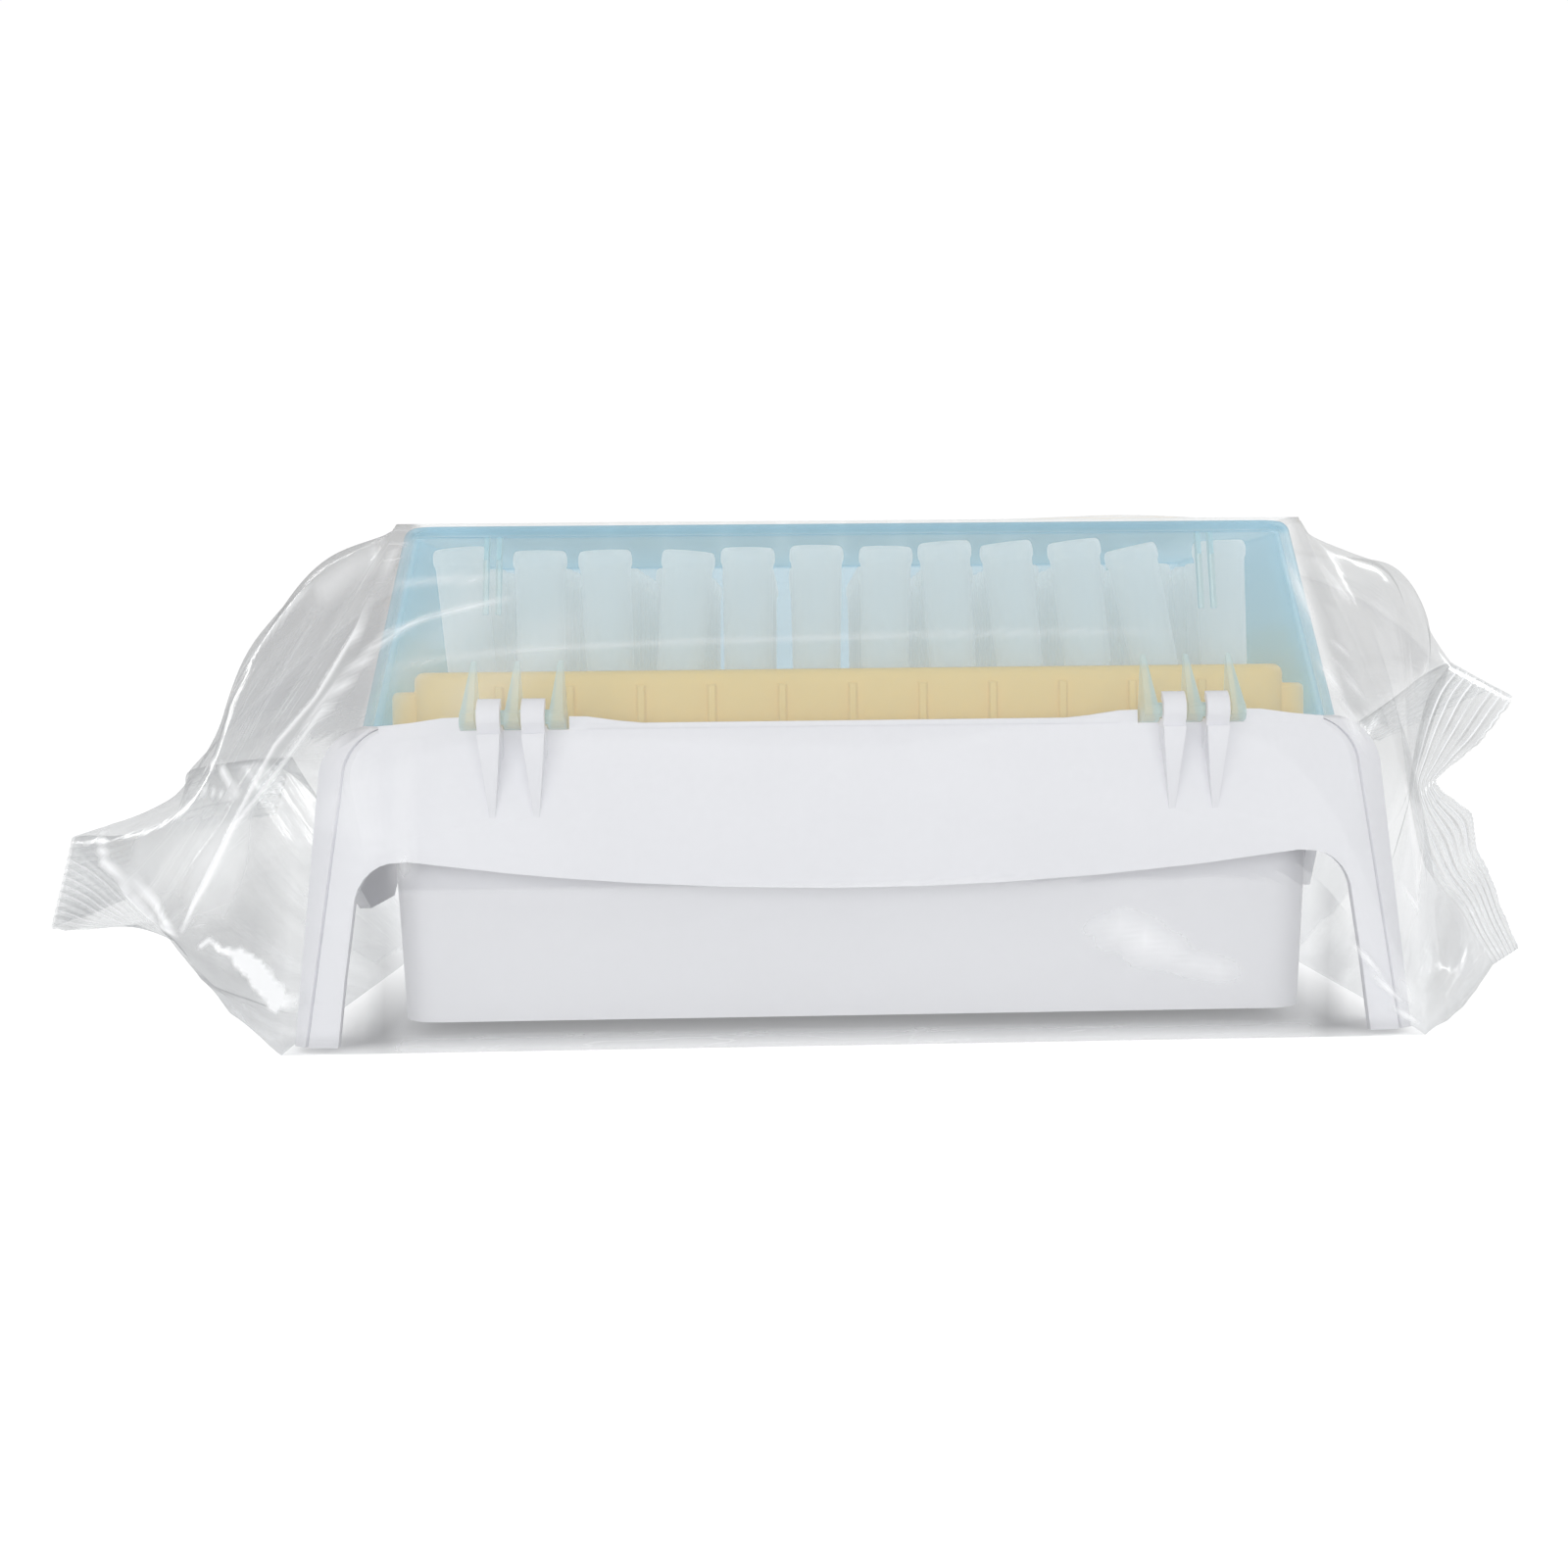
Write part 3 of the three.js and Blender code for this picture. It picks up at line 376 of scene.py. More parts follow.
def moulded_skin():
    """The faint mottling and orange peel of a moulded surface."""
    tree = bpy.data.node_groups.new("moulded skin", "ShaderNodeTree")
    for name, kind, value in (
        ("Colour", "Color", (0.8, 0.8, 0.8, 1)), ("Mottling", "Float", 0.05), ("Roughness", "Float", 0.5),
        ("Peel", "Float", 0.1),
    ):
        made = tree.interface.new_socket(name=name, in_out="INPUT", socket_type="NodeSocket" + kind)
        made.default_value = value
    for name, kind in (("Colour", "Color"), ("Roughness", "Float"), ("Normal", "Vector")):
        tree.interface.new_socket(name=name, in_out="OUTPUT", socket_type="NodeSocket" + kind)
    given, out = tree.nodes.new("NodeGroupInput").outputs, tree.nodes.new("NodeGroupOutput").inputs
    place = node(tree, "TexCoord").outputs["Object"]
    clouds, grain = [
        node(tree, "TexNoise", {"Vector": place, "Scale": scale, "Detail": detail}).outputs[0]
        for scale, detail in ((60, 3), (1500, 2))
    ]
    centred = maths(tree, "SUBTRACT", maths(tree, "ADD", clouds, grain), 1)
    level = maths(tree, "ADD", maths(tree, "MULTIPLY", centred, given["Mottling"]), 1)
    bump = node(tree, "Bump", {"Distance": 0.00004, "Height": grain, "Strength": given["Peel"]})
    tree.links.new(blend(tree, 1, given["Colour"], level, "MULTIPLY"), out["Colour"])
    tree.links.new(maths(tree, "MULTIPLY", given["Roughness"], level), out["Roughness"])
    tree.links.new(bump.outputs[0], out["Normal"])
    return tree


MOULDED_SKIN = moulded_skin()
LAST_LAYER = 6.5


def painted_glow_past_layers(tree, clear, tint, level):
    """A ray passes only so many clear layers; past the last one it finds a painted pale glow, not darkness.
    """
    passed = node(tree, "LightPath").outputs["Transparent Depth"]
    light = node(tree, "Emission", {"Color": tint, "Strength": level}).outputs[0]
    last = maths(tree, "GREATER_THAN", passed, LAST_LAYER)
    return node(tree, "MixShader", {0: last, 1: clear, 2: light}).outputs[0]


def moulded(name, colour, roughness, mottling, peel, see_through=None, opacity=None, milky=0, painted_inner_glow=0,
            solid_above=None, beyond=0.8, edge_opacity=0.7, deep=None):
    """A moulded plastic. see_through is the colour of the light that passes, opacity how little does.
    The glow within and the glow beyond the last clear layer are painted light.
    """
    material = bpy.data.materials.new(name)
    material.use_nodes = True
    tree = material.node_tree
    shader = tree.nodes["Principled BSDF"]
    skin = node(tree, "Group", {
        "Colour": (*colour, 1), "Roughness": roughness, "Mottling": mottling, "Peel": peel,
    }, node_tree=MOULDED_SKIN).outputs
    for given, slot in (("Colour", "Base Color"), ("Roughness", "Roughness"), ("Normal", "Normal")):
        tree.links.new(skin[given], shader.inputs[slot])
    if painted_inner_glow:
        # A painted glow in the plastic's own colour stands in for light that wanders between many milky
        # walls.
        shader.inputs["Emission Color"].default_value = (*colour, 1)
        shader.inputs["Emission Strength"].default_value = painted_inner_glow
    body = shader.outputs[0]
    if milky:
        inside = node(tree, "BsdfTranslucent", {"Color": skin["Colour"]}).outputs[0]
        body = node(tree, "MixShader", {0: milky, 1: body, 2: inside}).outputs[0]
    if see_through:
        # What is looked through shows the tint, deeper where the wall turns away; the light that
        # falls in stays nearly white and is scattered less.
        seen = node(tree, "LightPath").outputs["Is Camera Ray"]
        turned = node(tree, "LayerWeight", {"Blend": 0.35}).outputs["Facing"]
        edge_on = maths(tree, "MULTIPLY", turned, 0.3)
        if solid_above:
            # Looked at edge-on, a flat plate is seen through its whole length.
            place = node(tree, "TexCoord").outputs["Object"]
            height = node(tree, "SeparateXYZ", {0: place}).outputs["Z"]
            within = {"Value": height, "From Min": solid_above - 0.0004, "From Max": solid_above + 0.0002}
            edge_on = maths(tree, "MAXIMUM", edge_on, node(tree, "MapRange", within).outputs["Result"])
        deep = deep or [0.9 * c**6 for c in see_through]
        depth = blend(tree, edge_on, (*see_through, 1), (*deep, 1))
        tint = blend(tree, seen, (0.985, 0.99, 0.99, 1), depth)
        clear = node(tree, "BsdfTransparent", {"Color": tint}).outputs[0]
        more = maths(tree, "MULTIPLY_ADD", turned, edge_opacity, opacity)
        share = node(tree, "Mix", {0: seen, 2: opacity * 0.12, 3: more}).outputs[0]
        past = painted_glow_past_layers(tree, clear, tint, beyond)
        whole = node(tree, "MixShader", {0: share, 1: past, 2: body}).outputs[0]
        tree.links.new(whole, tree.nodes["Material Output"].inputs["Surface"])
    return material


dress(base, moulded("white polypropylene", (0.84, 0.84, 0.87), 0.5, 0.05, 0.12), "white_plastic", "base")

# ---------------------------------------------------------------- Tip tray
# The tray is a yellow polypropylene moulding: a flat deck with a grid of round holes, a lower
# ledge at each end that rests on the base's rim, and ribbed walls that hang into the tub.

DECK_HEIGHT = 45.5
DECK = 1.6
DECK_HALF = (56.5, 39.5)
DECK_CORNER = 5
TRAY_FOOT = 33.5
TRAY_WALL = 1.4
LEDGE_HALF = (59.6, 36.5)
LEDGE_CORNER = 3
LEDGE_FOOT, LEDGE_TOP = TUB_TOP + CLEARANCE, 43
HOLE_RADIUS = 3.45
PITCH = 9
COLUMNS, ROWS = 12, 8


def column_x(column):
    return (column - (COLUMNS - 1) / 2) * PITCH


def row_y(row):
    return (row - (ROWS - 1) / 2) * PITCH


def crowned(name, half, corner, low, high, edge, by=0):
    """A rounded slab whose top edge is rounded over."""
    rings = [round_corners([h - by for h in half], corner - by, low)]
    for i in range(6):
        angle = i / 5 * math.pi / 2
        back = edge * (1 - math.cos(angle))
        z = high - edge + edge * math.sin(angle)
        rings.append(round_corners([h - by - back for h in half], corner - by - back, z))
    return loft(name, rings)


tray = crowned("tip_box_tray", DECK_HALF, DECK_CORNER, TRAY_FOOT, DECK_HEIGHT, 1.2)
weld(tray, crowned("ledges", LEDGE_HALF, LEDGE_CORNER, LEDGE_FOOT, LEDGE_TOP, 0.8))
cut(
    tray, crowned("under_ledges", LEDGE_HALF, LEDGE_CORNER, 37, LEDGE_TOP - TRAY_WALL, 0.3, TRAY_WALL),
    crowned("under_deck", DECK_HALF, DECK_CORNER, 32, DECK_HEIGHT - DECK, 0.4, TRAY_WALL),
)
for k in range(COLUMNS + 1):
    x = (k - COLUMNS / 2) * PITCH
    if abs(x) < 50:
        for side in (-1, 1):
            y = sorted((side * 39, side * 40))
            weld(tray, block("rib", (x - 0.5, y[0], TRAY_FOOT), (x + 0.5, y[1], 43.6)))
begin()
holes = []
for row in range(ROWS):
    for column in range(COLUMNS):
        bpy.ops.mesh.primitive_cylinder_add(
            vertices=20, radius=HOLE_RADIUS * MM, depth=8 * MM,
            location=at(column_x(column), row_y(row), DECK_HEIGHT),
        )
        holes.append(bpy.context.object)
begin()
for hole in holes:
    hole.select_set(True)
bpy.context.view_layer.objects.active = holes[0]
bpy.ops.object.join()
bpy.ops.object.transform_apply(location=True, rotation=True, scale=True)
cut(tray, holes[0])
soften(tray, 0.15, 1)
yellow = moulded("yellow polypropylene", (0.99, 0.66, 0.22), 0.45, 0.05, 0.1)
dress(tray, yellow, "yellow_plastic", "tip_tray")

# ---------------------------------------------------------------- Tips
# Each tip is a thin tapered tube of undyed polypropylene with a wider collar round its mouth. They
# stand loose in the tray's holes, and the row beside the hinge has worked up and leans.

TIP_LENGTH = 50.6
TIP_STEP = TIP_LENGTH - 16.6  # the step under the collar
TIP_SIDES = 18
SEAT_DEPTH = 3.1
LOOSE_LEAN = (-5, 0, -2, 5, 0.5, 0.5, 1, -3.5, -6.5, -6.5, -12, -2)
LOOSE_DROP = (0.7, 1.2, 1.2, 1.3, 1, 0.8, 1, 0.4, 0.5, 0.3, 0.9, 0.6)
PIVOT_BELOW_DECK = 0.8


def circle(radius, z):
    turn = 2 * math.pi / TIP_SIDES
    return [(radius * math.cos(i * turn), radius * math.sin(i * turn), z) for i in range(TIP_SIDES)]


tip_profile = [
    (0.2, 0), (0.5, 0), (1.2, 12), (2.05, 26), (2.75, TIP_STEP), (3.0, TIP_STEP + 0.1),
    (3.12, TIP_STEP + 0.5), (3.3, TIP_LENGTH - 2.6), (3.36, TIP_LENGTH - 2.2), (3.52, TIP_LENGTH - 1.9),
    (3.56, TIP_LENGTH - 1.3), (3.5, TIP_LENGTH - 0.6), (3.34, TIP_LENGTH - 0.2), (3.1, TIP_LENGTH),
    (2.85, TIP_LENGTH - 0.05), (2.7, TIP_LENGTH - 0.4), (2.3, 30), (0.2, 0.01),
]
tip = loft("tip", [circle(radius, z) for radius, z in tip_profile], capped=False)
soften(tip, 0, angle=50)
tip.data.transform(Matrix.Translation(-at(0, 0, TIP_STEP)))
# The tips glow faintly with painted light, standing in for light that wanders between the rows.
natural = moulded(
    "natural polypropylene", (0.9, 0.905, 0.89), 0.3, 0.02, 0.05, (0.95, 0.965, 0.965), 0.46, 0.4, 0.16,
    beyond=0.6, edge_opacity=0.5,
)
steady = random.Random(4)
for row in range(ROWS):
    for column in range(COLUMNS):
        loose = row == 0
        name = "ABCDEFGH"[row] + str(column + 1)
        lean = math.radians(LOOSE_LEAN[column] if loose else 0)
        rise = CLEARANCE + PIVOT_BELOW_DECK - (LOOSE_DROP[column] if loose else SEAT_DEPTH)
        place = Matrix.Translation(at(column_x(column), row_y(row), DECK_HEIGHT - PIVOT_BELOW_DECK))
        turn = Matrix.Rotation(lean, 4, "Y") @ Matrix.Translation((0, 0, rise * MM))
        stood = bpy.data.objects.new("pipette_tip_" + name, tip.data.copy())
        stood.data.transform(place @ turn @ Matrix.Rotation(steady.uniform(0, 6), 4, "Z"))
        bpy.context.scene.collection.objects.link(stood)
        separate = "tip_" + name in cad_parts
        dress(stood, natural, "natural_plastic", *(["tip_" + name] if separate else []))
bpy.data.objects.remove(tip)

# ---------------------------------------------------------------- Lid
# The lid is one moulding in clear light-blue polypropylene with drawn-in walls. Pairs of thin ribs
# stiffen it inside, and three gussets at each hinge carry the pin that turns in the base's hooks.

LID_FOOT = TUB_TOP + CLEARANCE
LID_HEIGHT = 25.7
LID_TOP = LID_FOOT + LID_HEIGHT
LID_TOP_HALF = (57, 40.5)
LID_TOP_CORNER = 5
LID_WALL = 1.3
GUSSET_TOP = RIM_HEIGHT + 7.8
GUSSET_FLARE = (2.1, 0.6)  # how much wider and narrower than its middle a gusset is at its foot and tip
RIB_X = 45.5
RIB_GAP = 1.6
RIB_LENGTH, RIB_DEPTH, RIB_WIDTH = 10, 1, 0.6
CATCH_FOOT, CATCH_SHELF, CATCH_TOP = 31, 39.5, 41.2
CATCH_WALL = 1.4
CATCH_HALF = 12


def lid_half(z, axis):
    return mix(LID_FOOT_HALF[axis], LID_TOP_HALF[axis], (z - LID_FOOT) / LID_HEIGHT)


def lid_body(name, by, low, high, edge):
    def ring(z, back):
        corner = mix(LID_FOOT_CORNER, LID_TOP_CORNER, (z - LID_FOOT) / LID_HEIGHT) - by - back
        return round_corners([lid_half(z, axis) - by - back for axis in (0, 1)], corner, z, 8)

    rings = [ring(low, 0)]
    for i in range(6):
        angle = i / 5 * math.pi / 2
        rings.append(ring(high - edge + edge * math.sin(angle), edge * (1 - math.cos(angle))))
    return loft(name, rings)


def gusset(x):
    """A wedge that stands out from the lid's wall and carries the pin."""
    r = PIN_RADIUS + 0.35
    foot, top = -lid_half(LID_FOOT, 1), -lid_half(GUSSET_TOP, 1)
    points = [
        (foot + 0.6, LID_FOOT), (top + 0.6, GUSSET_TOP), (top - 0.2, GUSSET_TOP),
        (PIN[0] - r * 0.2, PIN[1] + r), (PIN[0] - r, PIN[1] + r * 0.4), (PIN[0] - r, PIN[1] - r * 0.4),
        (PIN[0] - r * 0.4, PIN[1] - r), (PIN[0] + 1, LID_FOOT),
    ]
    piece = along("gusset", "X", points, x - GUSSET_WIDTH / 2, x + GUSSET_WIDTH / 2)
    middle = at(x, 0, 0).x
    for vertex in piece.data.vertices:
        share = ((vertex.co - ORIGIN).z / MM - LID_FOOT) / (GUSSET_TOP - LID_FOOT)
        vertex.co.x = middle + (vertex.co.x - middle) * mix(*GUSSET_FLARE, share)
    return piece


def inner_rib(x, side):
    low, high = LID_TOP - LID_WALL - RIB_LENGTH, LID_TOP - LID_WALL / 2
    wall = [side * (lid_half(z, 1) - LID_WALL / 2) for z in (low, high)]
    depth = side * (LID_WALL / 2 + RIB_DEPTH)
    points = [(wall[0], low), (wall[1] - side, high), (wall[1] - side - depth, high), (wall[0] - depth, low)]
    return along("inner_rib", "X", points, x - RIB_WIDTH / 2, x + RIB_WIDTH / 2)


lid = lid_body("tip_box_lid", 0, LID_FOOT, LID_TOP, 1.2)
cut(lid, lid_body("lid_inside", LID_WALL, LID_FOOT - 1, LID_TOP - LID_WALL, 0.4))
for side in (-1, 1):
    x = side * HINGE_CENTRE
    reach = hinge_gap - 0.3
    weld(lid, block("flange", (x - reach, -46.9, LID_FOOT), (x + reach, -45.9, LID_FOOT + 0.75)))
    for step in (-1, 0, 1):
        weld(lid, gusset(x + step * GUSSET_SPACING))
    begin()
    bpy.ops.mesh.primitive_cylinder_add(
        vertices=16, radius=PIN_RADIUS * MM, depth=(2 * GUSSET_SPACING + GUSSET_WIDTH) * MM,
        location=at(x, *PIN), rotation=(0, math.pi / 2, 0),
    )
    pin = bpy.context.object
    bpy.ops.object.transform_apply(location=True, rotation=True, scale=True)
    weld(lid, pin)
    for offset in (-RIB_GAP / 2, RIB_GAP / 2):
        for face in (-1, 1):
            weld(lid, inner_rib(side * RIB_X + offset, face))
catch_y = skirt_half_depth(CATCH_FOOT) + 1.3
catch_root = lid_half(CATCH_TOP, 1) - 0.5
weld(lid, along("catch", "X", [
    (catch_root, CATCH_SHELF), (catch_y, CATCH_SHELF), (catch_y, CATCH_FOOT),
    (catch_y + CATCH_WALL, CATCH_FOOT - 0.6), (catch_y + CATCH_WALL, CATCH_TOP - 1), (catch_root, CATCH_TOP),
], -CATCH_HALF, CATCH_HALF))
soften(lid, 0.2)
blue = moulded(
    "clear blue polypropylene", (0.48, 0.79, 0.94), 0.22, 0.04, 0.06, (0.945, 0.978, 0.997), 0.07,
    solid_above=at(0, 0, LID_TOP - LID_WALL).z, deep=(0.57, 0.78, 0.9), beyond=0.55,
)
dress(lid, blue, "clear_blue_plastic", "lid")
# The gussets and inner ribs are thin enough to look pale.
lid.data.materials.append(moulded(
    "thin clear blue polypropylene", (0.62, 0.84, 0.86), 0.3, 0.03, 0.05, (0.97, 0.985, 0.985), 0.42,
    edge_opacity=0.3, beyond=0.6,
))
for face in lid.data.polygons:
    x, y, z = (face.center - ORIGIN) / MM
    on_rib = abs(abs(x) - RIB_X) < 1.2 and 53 < z < LID_TOP - LID_WALL - 0.05
    if y < -lid_half(z, 1) - 0.05 or (on_rib and abs(y) < lid_half(z, 1) - LID_WALL - 0.05):
        face.material_index = 1

# ---------------------------------------------------------------- Film
# The film is one thin clear polypropylene tube drawn round the box and crimped flat across both
# ends, where it is cut in a fine zigzag. It is creased where it runs from the box to each seal.

FILM_WALL = 0.35
HALF_SEAL = 0.12
RIB_PERIOD = 1.15  # from rib to rib of a crimp
TOOTH = 0.35  # depth of the zigzag cut
LEG_GAP = 58.5  # middle of the open gap between a leg and the tub
LEG_GAP_WIDTH = 3
film_lift = CLEARANCE + FILM_WALL
film_top = LID_TOP + film_lift + 0.25
film_front = -PIN[0] + HOOK_OUTER + film_lift
film_end = FOOT_HALF[0] + film_lift + 0.35
top_end = LID_TOP_HALF[0] + FILM_WALL
top_front = LID_TOP_HALF[1] + FILM_WALL + 0.05

# Points on the line where each crimped seal begins, from the hinge side to the far side, and the
# matching points on its cut edge: distance beyond the feet, share of the half depth, of the height.
LEFT_SEAL = (
    ((13.0, -0.97, 0.215), (19.6, -0.84, 0.235)), ((13.9, -0.955, 0.223), (20.6, -0.825, 0.232)),
    ((14.7, -0.94, 0.231), (21.7, -0.81, 0.229)), ((15.4, -0.925, 0.239), (22.8, -0.79, 0.226)),
    ((16.1, -0.91, 0.246), (23.9, -0.77, 0.223)), ((16.9, -0.9, 0.254), (25.0, -0.755, 0.22)),
    ((21.7, -0.81, 0.302), (29.4, -0.71, 0.213)), ((30.6, -0.65, 0.383), (33.6, -0.63, 0.208)),
    ((29.6, -0.3, 0.377), (34.4, -0.31, 0.21)), ((28.2, 0.04, 0.398), (32.6, 0.04, 0.236)),
    ((31.0, 0.33, 0.445), (34.2, 0.34, 0.285)), ((33.7, 0.57, 0.483), (35.0, 0.58, 0.32)),
    ((32.2, 0.68, 0.49), (33.9, 0.7, 0.33)), ((30.2, 0.77, 0.494), (32.2, 0.79, 0.335)),
    ((27.8, 0.84, 0.497), (30.2, 0.86, 0.34)), ((25.2, 0.9, 0.499), (28.0, 0.92, 0.345)),
    ((22.4, 0.94, 0.5), (25.6, 0.96, 0.35)),
)
RIGHT_SEAL = (
    ((12.1, -0.79, 0.108), (16.3, -0.75, 0.137)), ((12.5, -0.64, 0.143), (17.2, -0.58, 0.195)),
    ((13.1, -0.49, 0.182), (18.5, -0.41, 0.257)), ((13.0, -0.3, 0.226), (19.3, -0.25, 0.312)),
    ((12.9, -0.17, 0.27), (20.2, -0.15, 0.375)), ((13.1, -0.08, 0.34), (18.2, -0.06, 0.412)),
    ((13.6, 0.0, 0.415), (18.3, 0.04, 0.438)), ((15.7, 0.09, 0.498), (22.6, 0.12, 0.478)),
    ((18.6, 0.19, 0.588), (28.0, 0.22, 0.522)), ((22.2, 0.3, 0.656), (32.3, 0.3, 0.575)),
    ((26.6, 0.41, 0.71), (35.7, 0.37, 0.62)), ((27.0, 0.54, 0.705), (36.4, 0.5, 0.64)),
    ((25.6, 0.64, 0.68), (34.6, 0.62, 0.63)), ((23.6, 0.73, 0.64), (32.2, 0.72, 0.6)),
    ((21.2, 0.81, 0.6), (29.4, 0.81, 0.57)), ((18.6, 0.88, 0.56), (26.4, 0.88, 0.54)),
    ((15.8, 0.94, 0.52), (23.2, 0.95, 0.51)),
)


def bow(out, up):
    return [(out * share, up * share) for share in (0.75, 1, 0.75)]


# How far the upper layer stands off the straight run from the box to a seal: outwards and upwards,
# a quarter, half and three quarters of the way along.
LEFT_SWELL = (
    bow(0.5, 0), bow(0.8, 0), bow(1, 0), bow(1, 0), bow(0.6, 0), bow(0, 0), [(0.3, 5.6), (0.8, 3), (-1, 0)],
    [(0, 6), (-1.2, 5), (-3.2, -4.2)], [(2.2, 7.4), (3.1, 7), (2, -2.4)],
    [(3.4, 7.4), (6.3, 5.8), (5.1, 0.1)], [(3.2, 6.6), (5.8, 4.6), (4.5, 0.3)],
    [(1.6, 4.2), (2.5, 2.8), (2, 1.9)],
    bow(3, 1), bow(3, 0), bow(2.5, 0), bow(2, 0), bow(1, 0),
)
RIGHT_SWELL = (
    bow(0.5, 0), bow(0.8, 0), bow(1, 0), bow(1, 0.5), bow(1.3, 1.6), [(1.2, 2), (2.4, 4.6), (1.6, 2)],
    [(2.2, 4.6), (4.8, 11), (3.5, 5)],
    [(4.9, 4.2), (7, 10), (6, 6)], [(5.2, 3.8), (9.5, 8.6), (7.5, 7)],
    [(5.2, 3.4), (9.5, 6.6), (6.5, 5)], [(4.8, 2.8), (8, 4.8), (4.6, 2.6)],
    bow(4, 3), bow(3, 1), bow(3, 0), bow(2.5, 0), bow(2, 0), bow(1, 0),
)
LOWER_SWELL = (2, -4)
ROUND = 32  # places round the tube: from the bottom edge on the hinge side, up, over and back beneath
HALF = ROUND // 2
shoulder = (RIM_HALF[0] + SHOULDER_RADIUS + 0.75, film_front - 2.4, SHOULDER_HEIGHT + 1.2)
lid_middle = [(a + b) / 2 for a, b in zip(shoulder, (top_end, top_front, film_top))]


def box_loop(side):
    """The tube where it leaves the box."""
    def corner(z):
        share = z / shoulder[2]
        return mix(film_end, shoulder[0], share), mix(film_front, shoulder[1], share), z

    heights = (0, 13, 26) if side < 0 else (0, 1.2, 2.6, 4.5)
    front = [*map(corner, heights), shoulder] + ([lid_middle] if side < 0 else [])
    top = (top_end, top_front, film_top)
    loop = [(x, -y, z) for x, y, z in (*front, top)]
    loop += [(top_end, share * top_front, film_top) for share in (-0.93, -0.5, -0.1, 0.3, 0.66)]
    loop += [top, lid_middle, shoulder, corner(26), corner(13), corner(0)]
    loop += [(film_end + 0.2, mix(-1, 1, i / HALF) * film_front, 0) for i in range(HALF - 1, 0, -1)]
    return [(side * x, y, z) for x, y, z in loop]


def middle_loop(x):
    """The tube where it lies straight along the box."""
    front = [
        (film_front, 0), (film_front, 13), (film_front, 26), (film_front - 0.1, PIN[1] + film_lift + 1.2),
        ((film_front + top_front) / 2, (PIN[1] + film_lift + film_top) / 2 + 0.6), (top_front, film_top),
    ]
    loop = [(-y, z) for y, z in front]
    loop += [(share * top_front, film_top) for share in (-0.66, -0.34, 0, 0.34, 0.66)]
    loop += front[::-1]
    loop += [(mix(-1, 1, i / HALF) * film_front, 0) for i in range(HALF - 1, 0, -1)]
    return [(x, y, z) for y, z in loop]


def seal_loops(side):
    """Both layers where the crimp begins and at the cut edge, a hair apart."""
    rows = np.array(LEFT_SEAL if side < 0 else RIGHT_SEAL)
    rows = (rows * (1, film_front, film_top) + (film_end, 0, 0)) * (side, 1, 1)
    line = rows[:, 0]
    run = np.vstack([line[1] - line[0], line[2:] - line[:-2], line[-1] - line[-2]])
    run /= np.linalg.norm(run, axis=1, keepdims=True)
    face = np.cross(run, rows[:, 1] - line) * -side
    face /= np.linalg.norm(face, axis=1, keepdims=True)
    loops = []
    for k in (0, 1):
        above, below = rows[:, k] + face * HALF_SEAL, rows[:, k] - face * HALF_SEAL
        above[0], above[-1] = rows[0, k] - run[0] * HALF_SEAL, rows[-1, k] + run[-1] * HALF_SEAL
        loops.append(np.vstack([above, below[-2:0:-1]]))
    return loops


def end_loops(side):
    """The tube from the box out to the cut edge of one seal."""
    start = np.array(box_loop(side))
    inner, cut_edge = seal_loops(side)
    swell = LEFT_SWELL if side < 0 else RIGHT_SWELL
    loops = [start]
    for k, share in enumerate((0.25, 0.5, 0.75)):
        loop = mix(start, inner, share)
        for i in range(ROUND):
            sag = math.sin(math.pi * (ROUND - i) / HALF) * 4 * share * (1 - share)
            out, up = swell[i][k] if i <= HALF else [value * sag for value in LOWER_SWELL]
            loop[i] += (side * out, 0, up)
        loops.append(loop)
    return [*loops, inner, cut_edge]


def smooth(points, creases, steps):
    """Finer rows on a smooth run through rows of points, which turns sharply at the creases."""
    gap = np.maximum(np.linalg.norm(np.diff(points, axis=0), axis=-1, keepdims=True), 1e-6)
    slope = np.diff(points, axis=0) / gap
    through = (gap[1:] * slope[:-1] + gap[:-1] * slope[1:]) / (gap[1:] + gap[:-1])
    rows = [points[0]]
    for k, count in enumerate(steps):
        leave = slope[k] if k in creases else through[k - 1]
        arrive = slope[k] if k + 1 in creases else through[k]
        for t in np.arange(1, count + 1) / count:
            rows.append(
                (2 * t**3 - 3 * t**2 + 1) * points[k] + (t**3 - 2 * t**2 + t) * gap[k] * leave
                + (3 * t**2 - 2 * t**3) * points[k + 1] + (t**3 - t**2) * gap[k] * arrive
            )
    return np.array(rows)


def places(steps):
    """The coarse position of every fine row."""
    return np.concatenate([[0]] + [k + np.arange(1, count + 1) / count for k, count in enumerate(steps)])


round_steps = [22, 22, 14, 26, 26, 24, 24, 14, 10, 10, 10, 10, 9, 7, 9, 9] + [5] * HALF
long_steps = [40] + [16] * 4 + [8, 16, 16, 8] + [15] * 4 + [40]
near_hinge = HINGE_CENTRE + GUSSET_SPACING + GUSSET_WIDTH + 2
stations = [*end_loops(-1)[::-1], *map(middle_loop, (-near_hinge, 0, near_hinge)), *end_loops(1)]
coarse = np.array([np.vstack([loop, loop[:1]]) for loop in stations])
round_creases = {0, 5, 11, HALF, ROUND}  # the bottom edges, and the top edges of the lid
long_creases = {0, 1, 5, 9, 13, 14}  # the cut edges, the crimps and the ends of the box
wide = smooth(coarse.swapaxes(0, 1), round_creases, round_steps).swapaxes(0, 1)
sheet = smooth(wide, long_creases, long_steps)[:, :-1]
turn_at = places(round_steps)[:-1]
run_at = places(long_steps)
count = sheet.shape[1]


def outward(grid):
    """Unit normals of a closed tube of points."""
    around = np.roll(grid, -1, 1) - np.roll(grid, 1, 1)
    lengthwise = np.gradient(grid, axis=0)
    normal = np.cross(lengthwise, around)
    return normal / np.maximum(np.linalg.norm(normal, axis=2, keepdims=True), 1e-9)


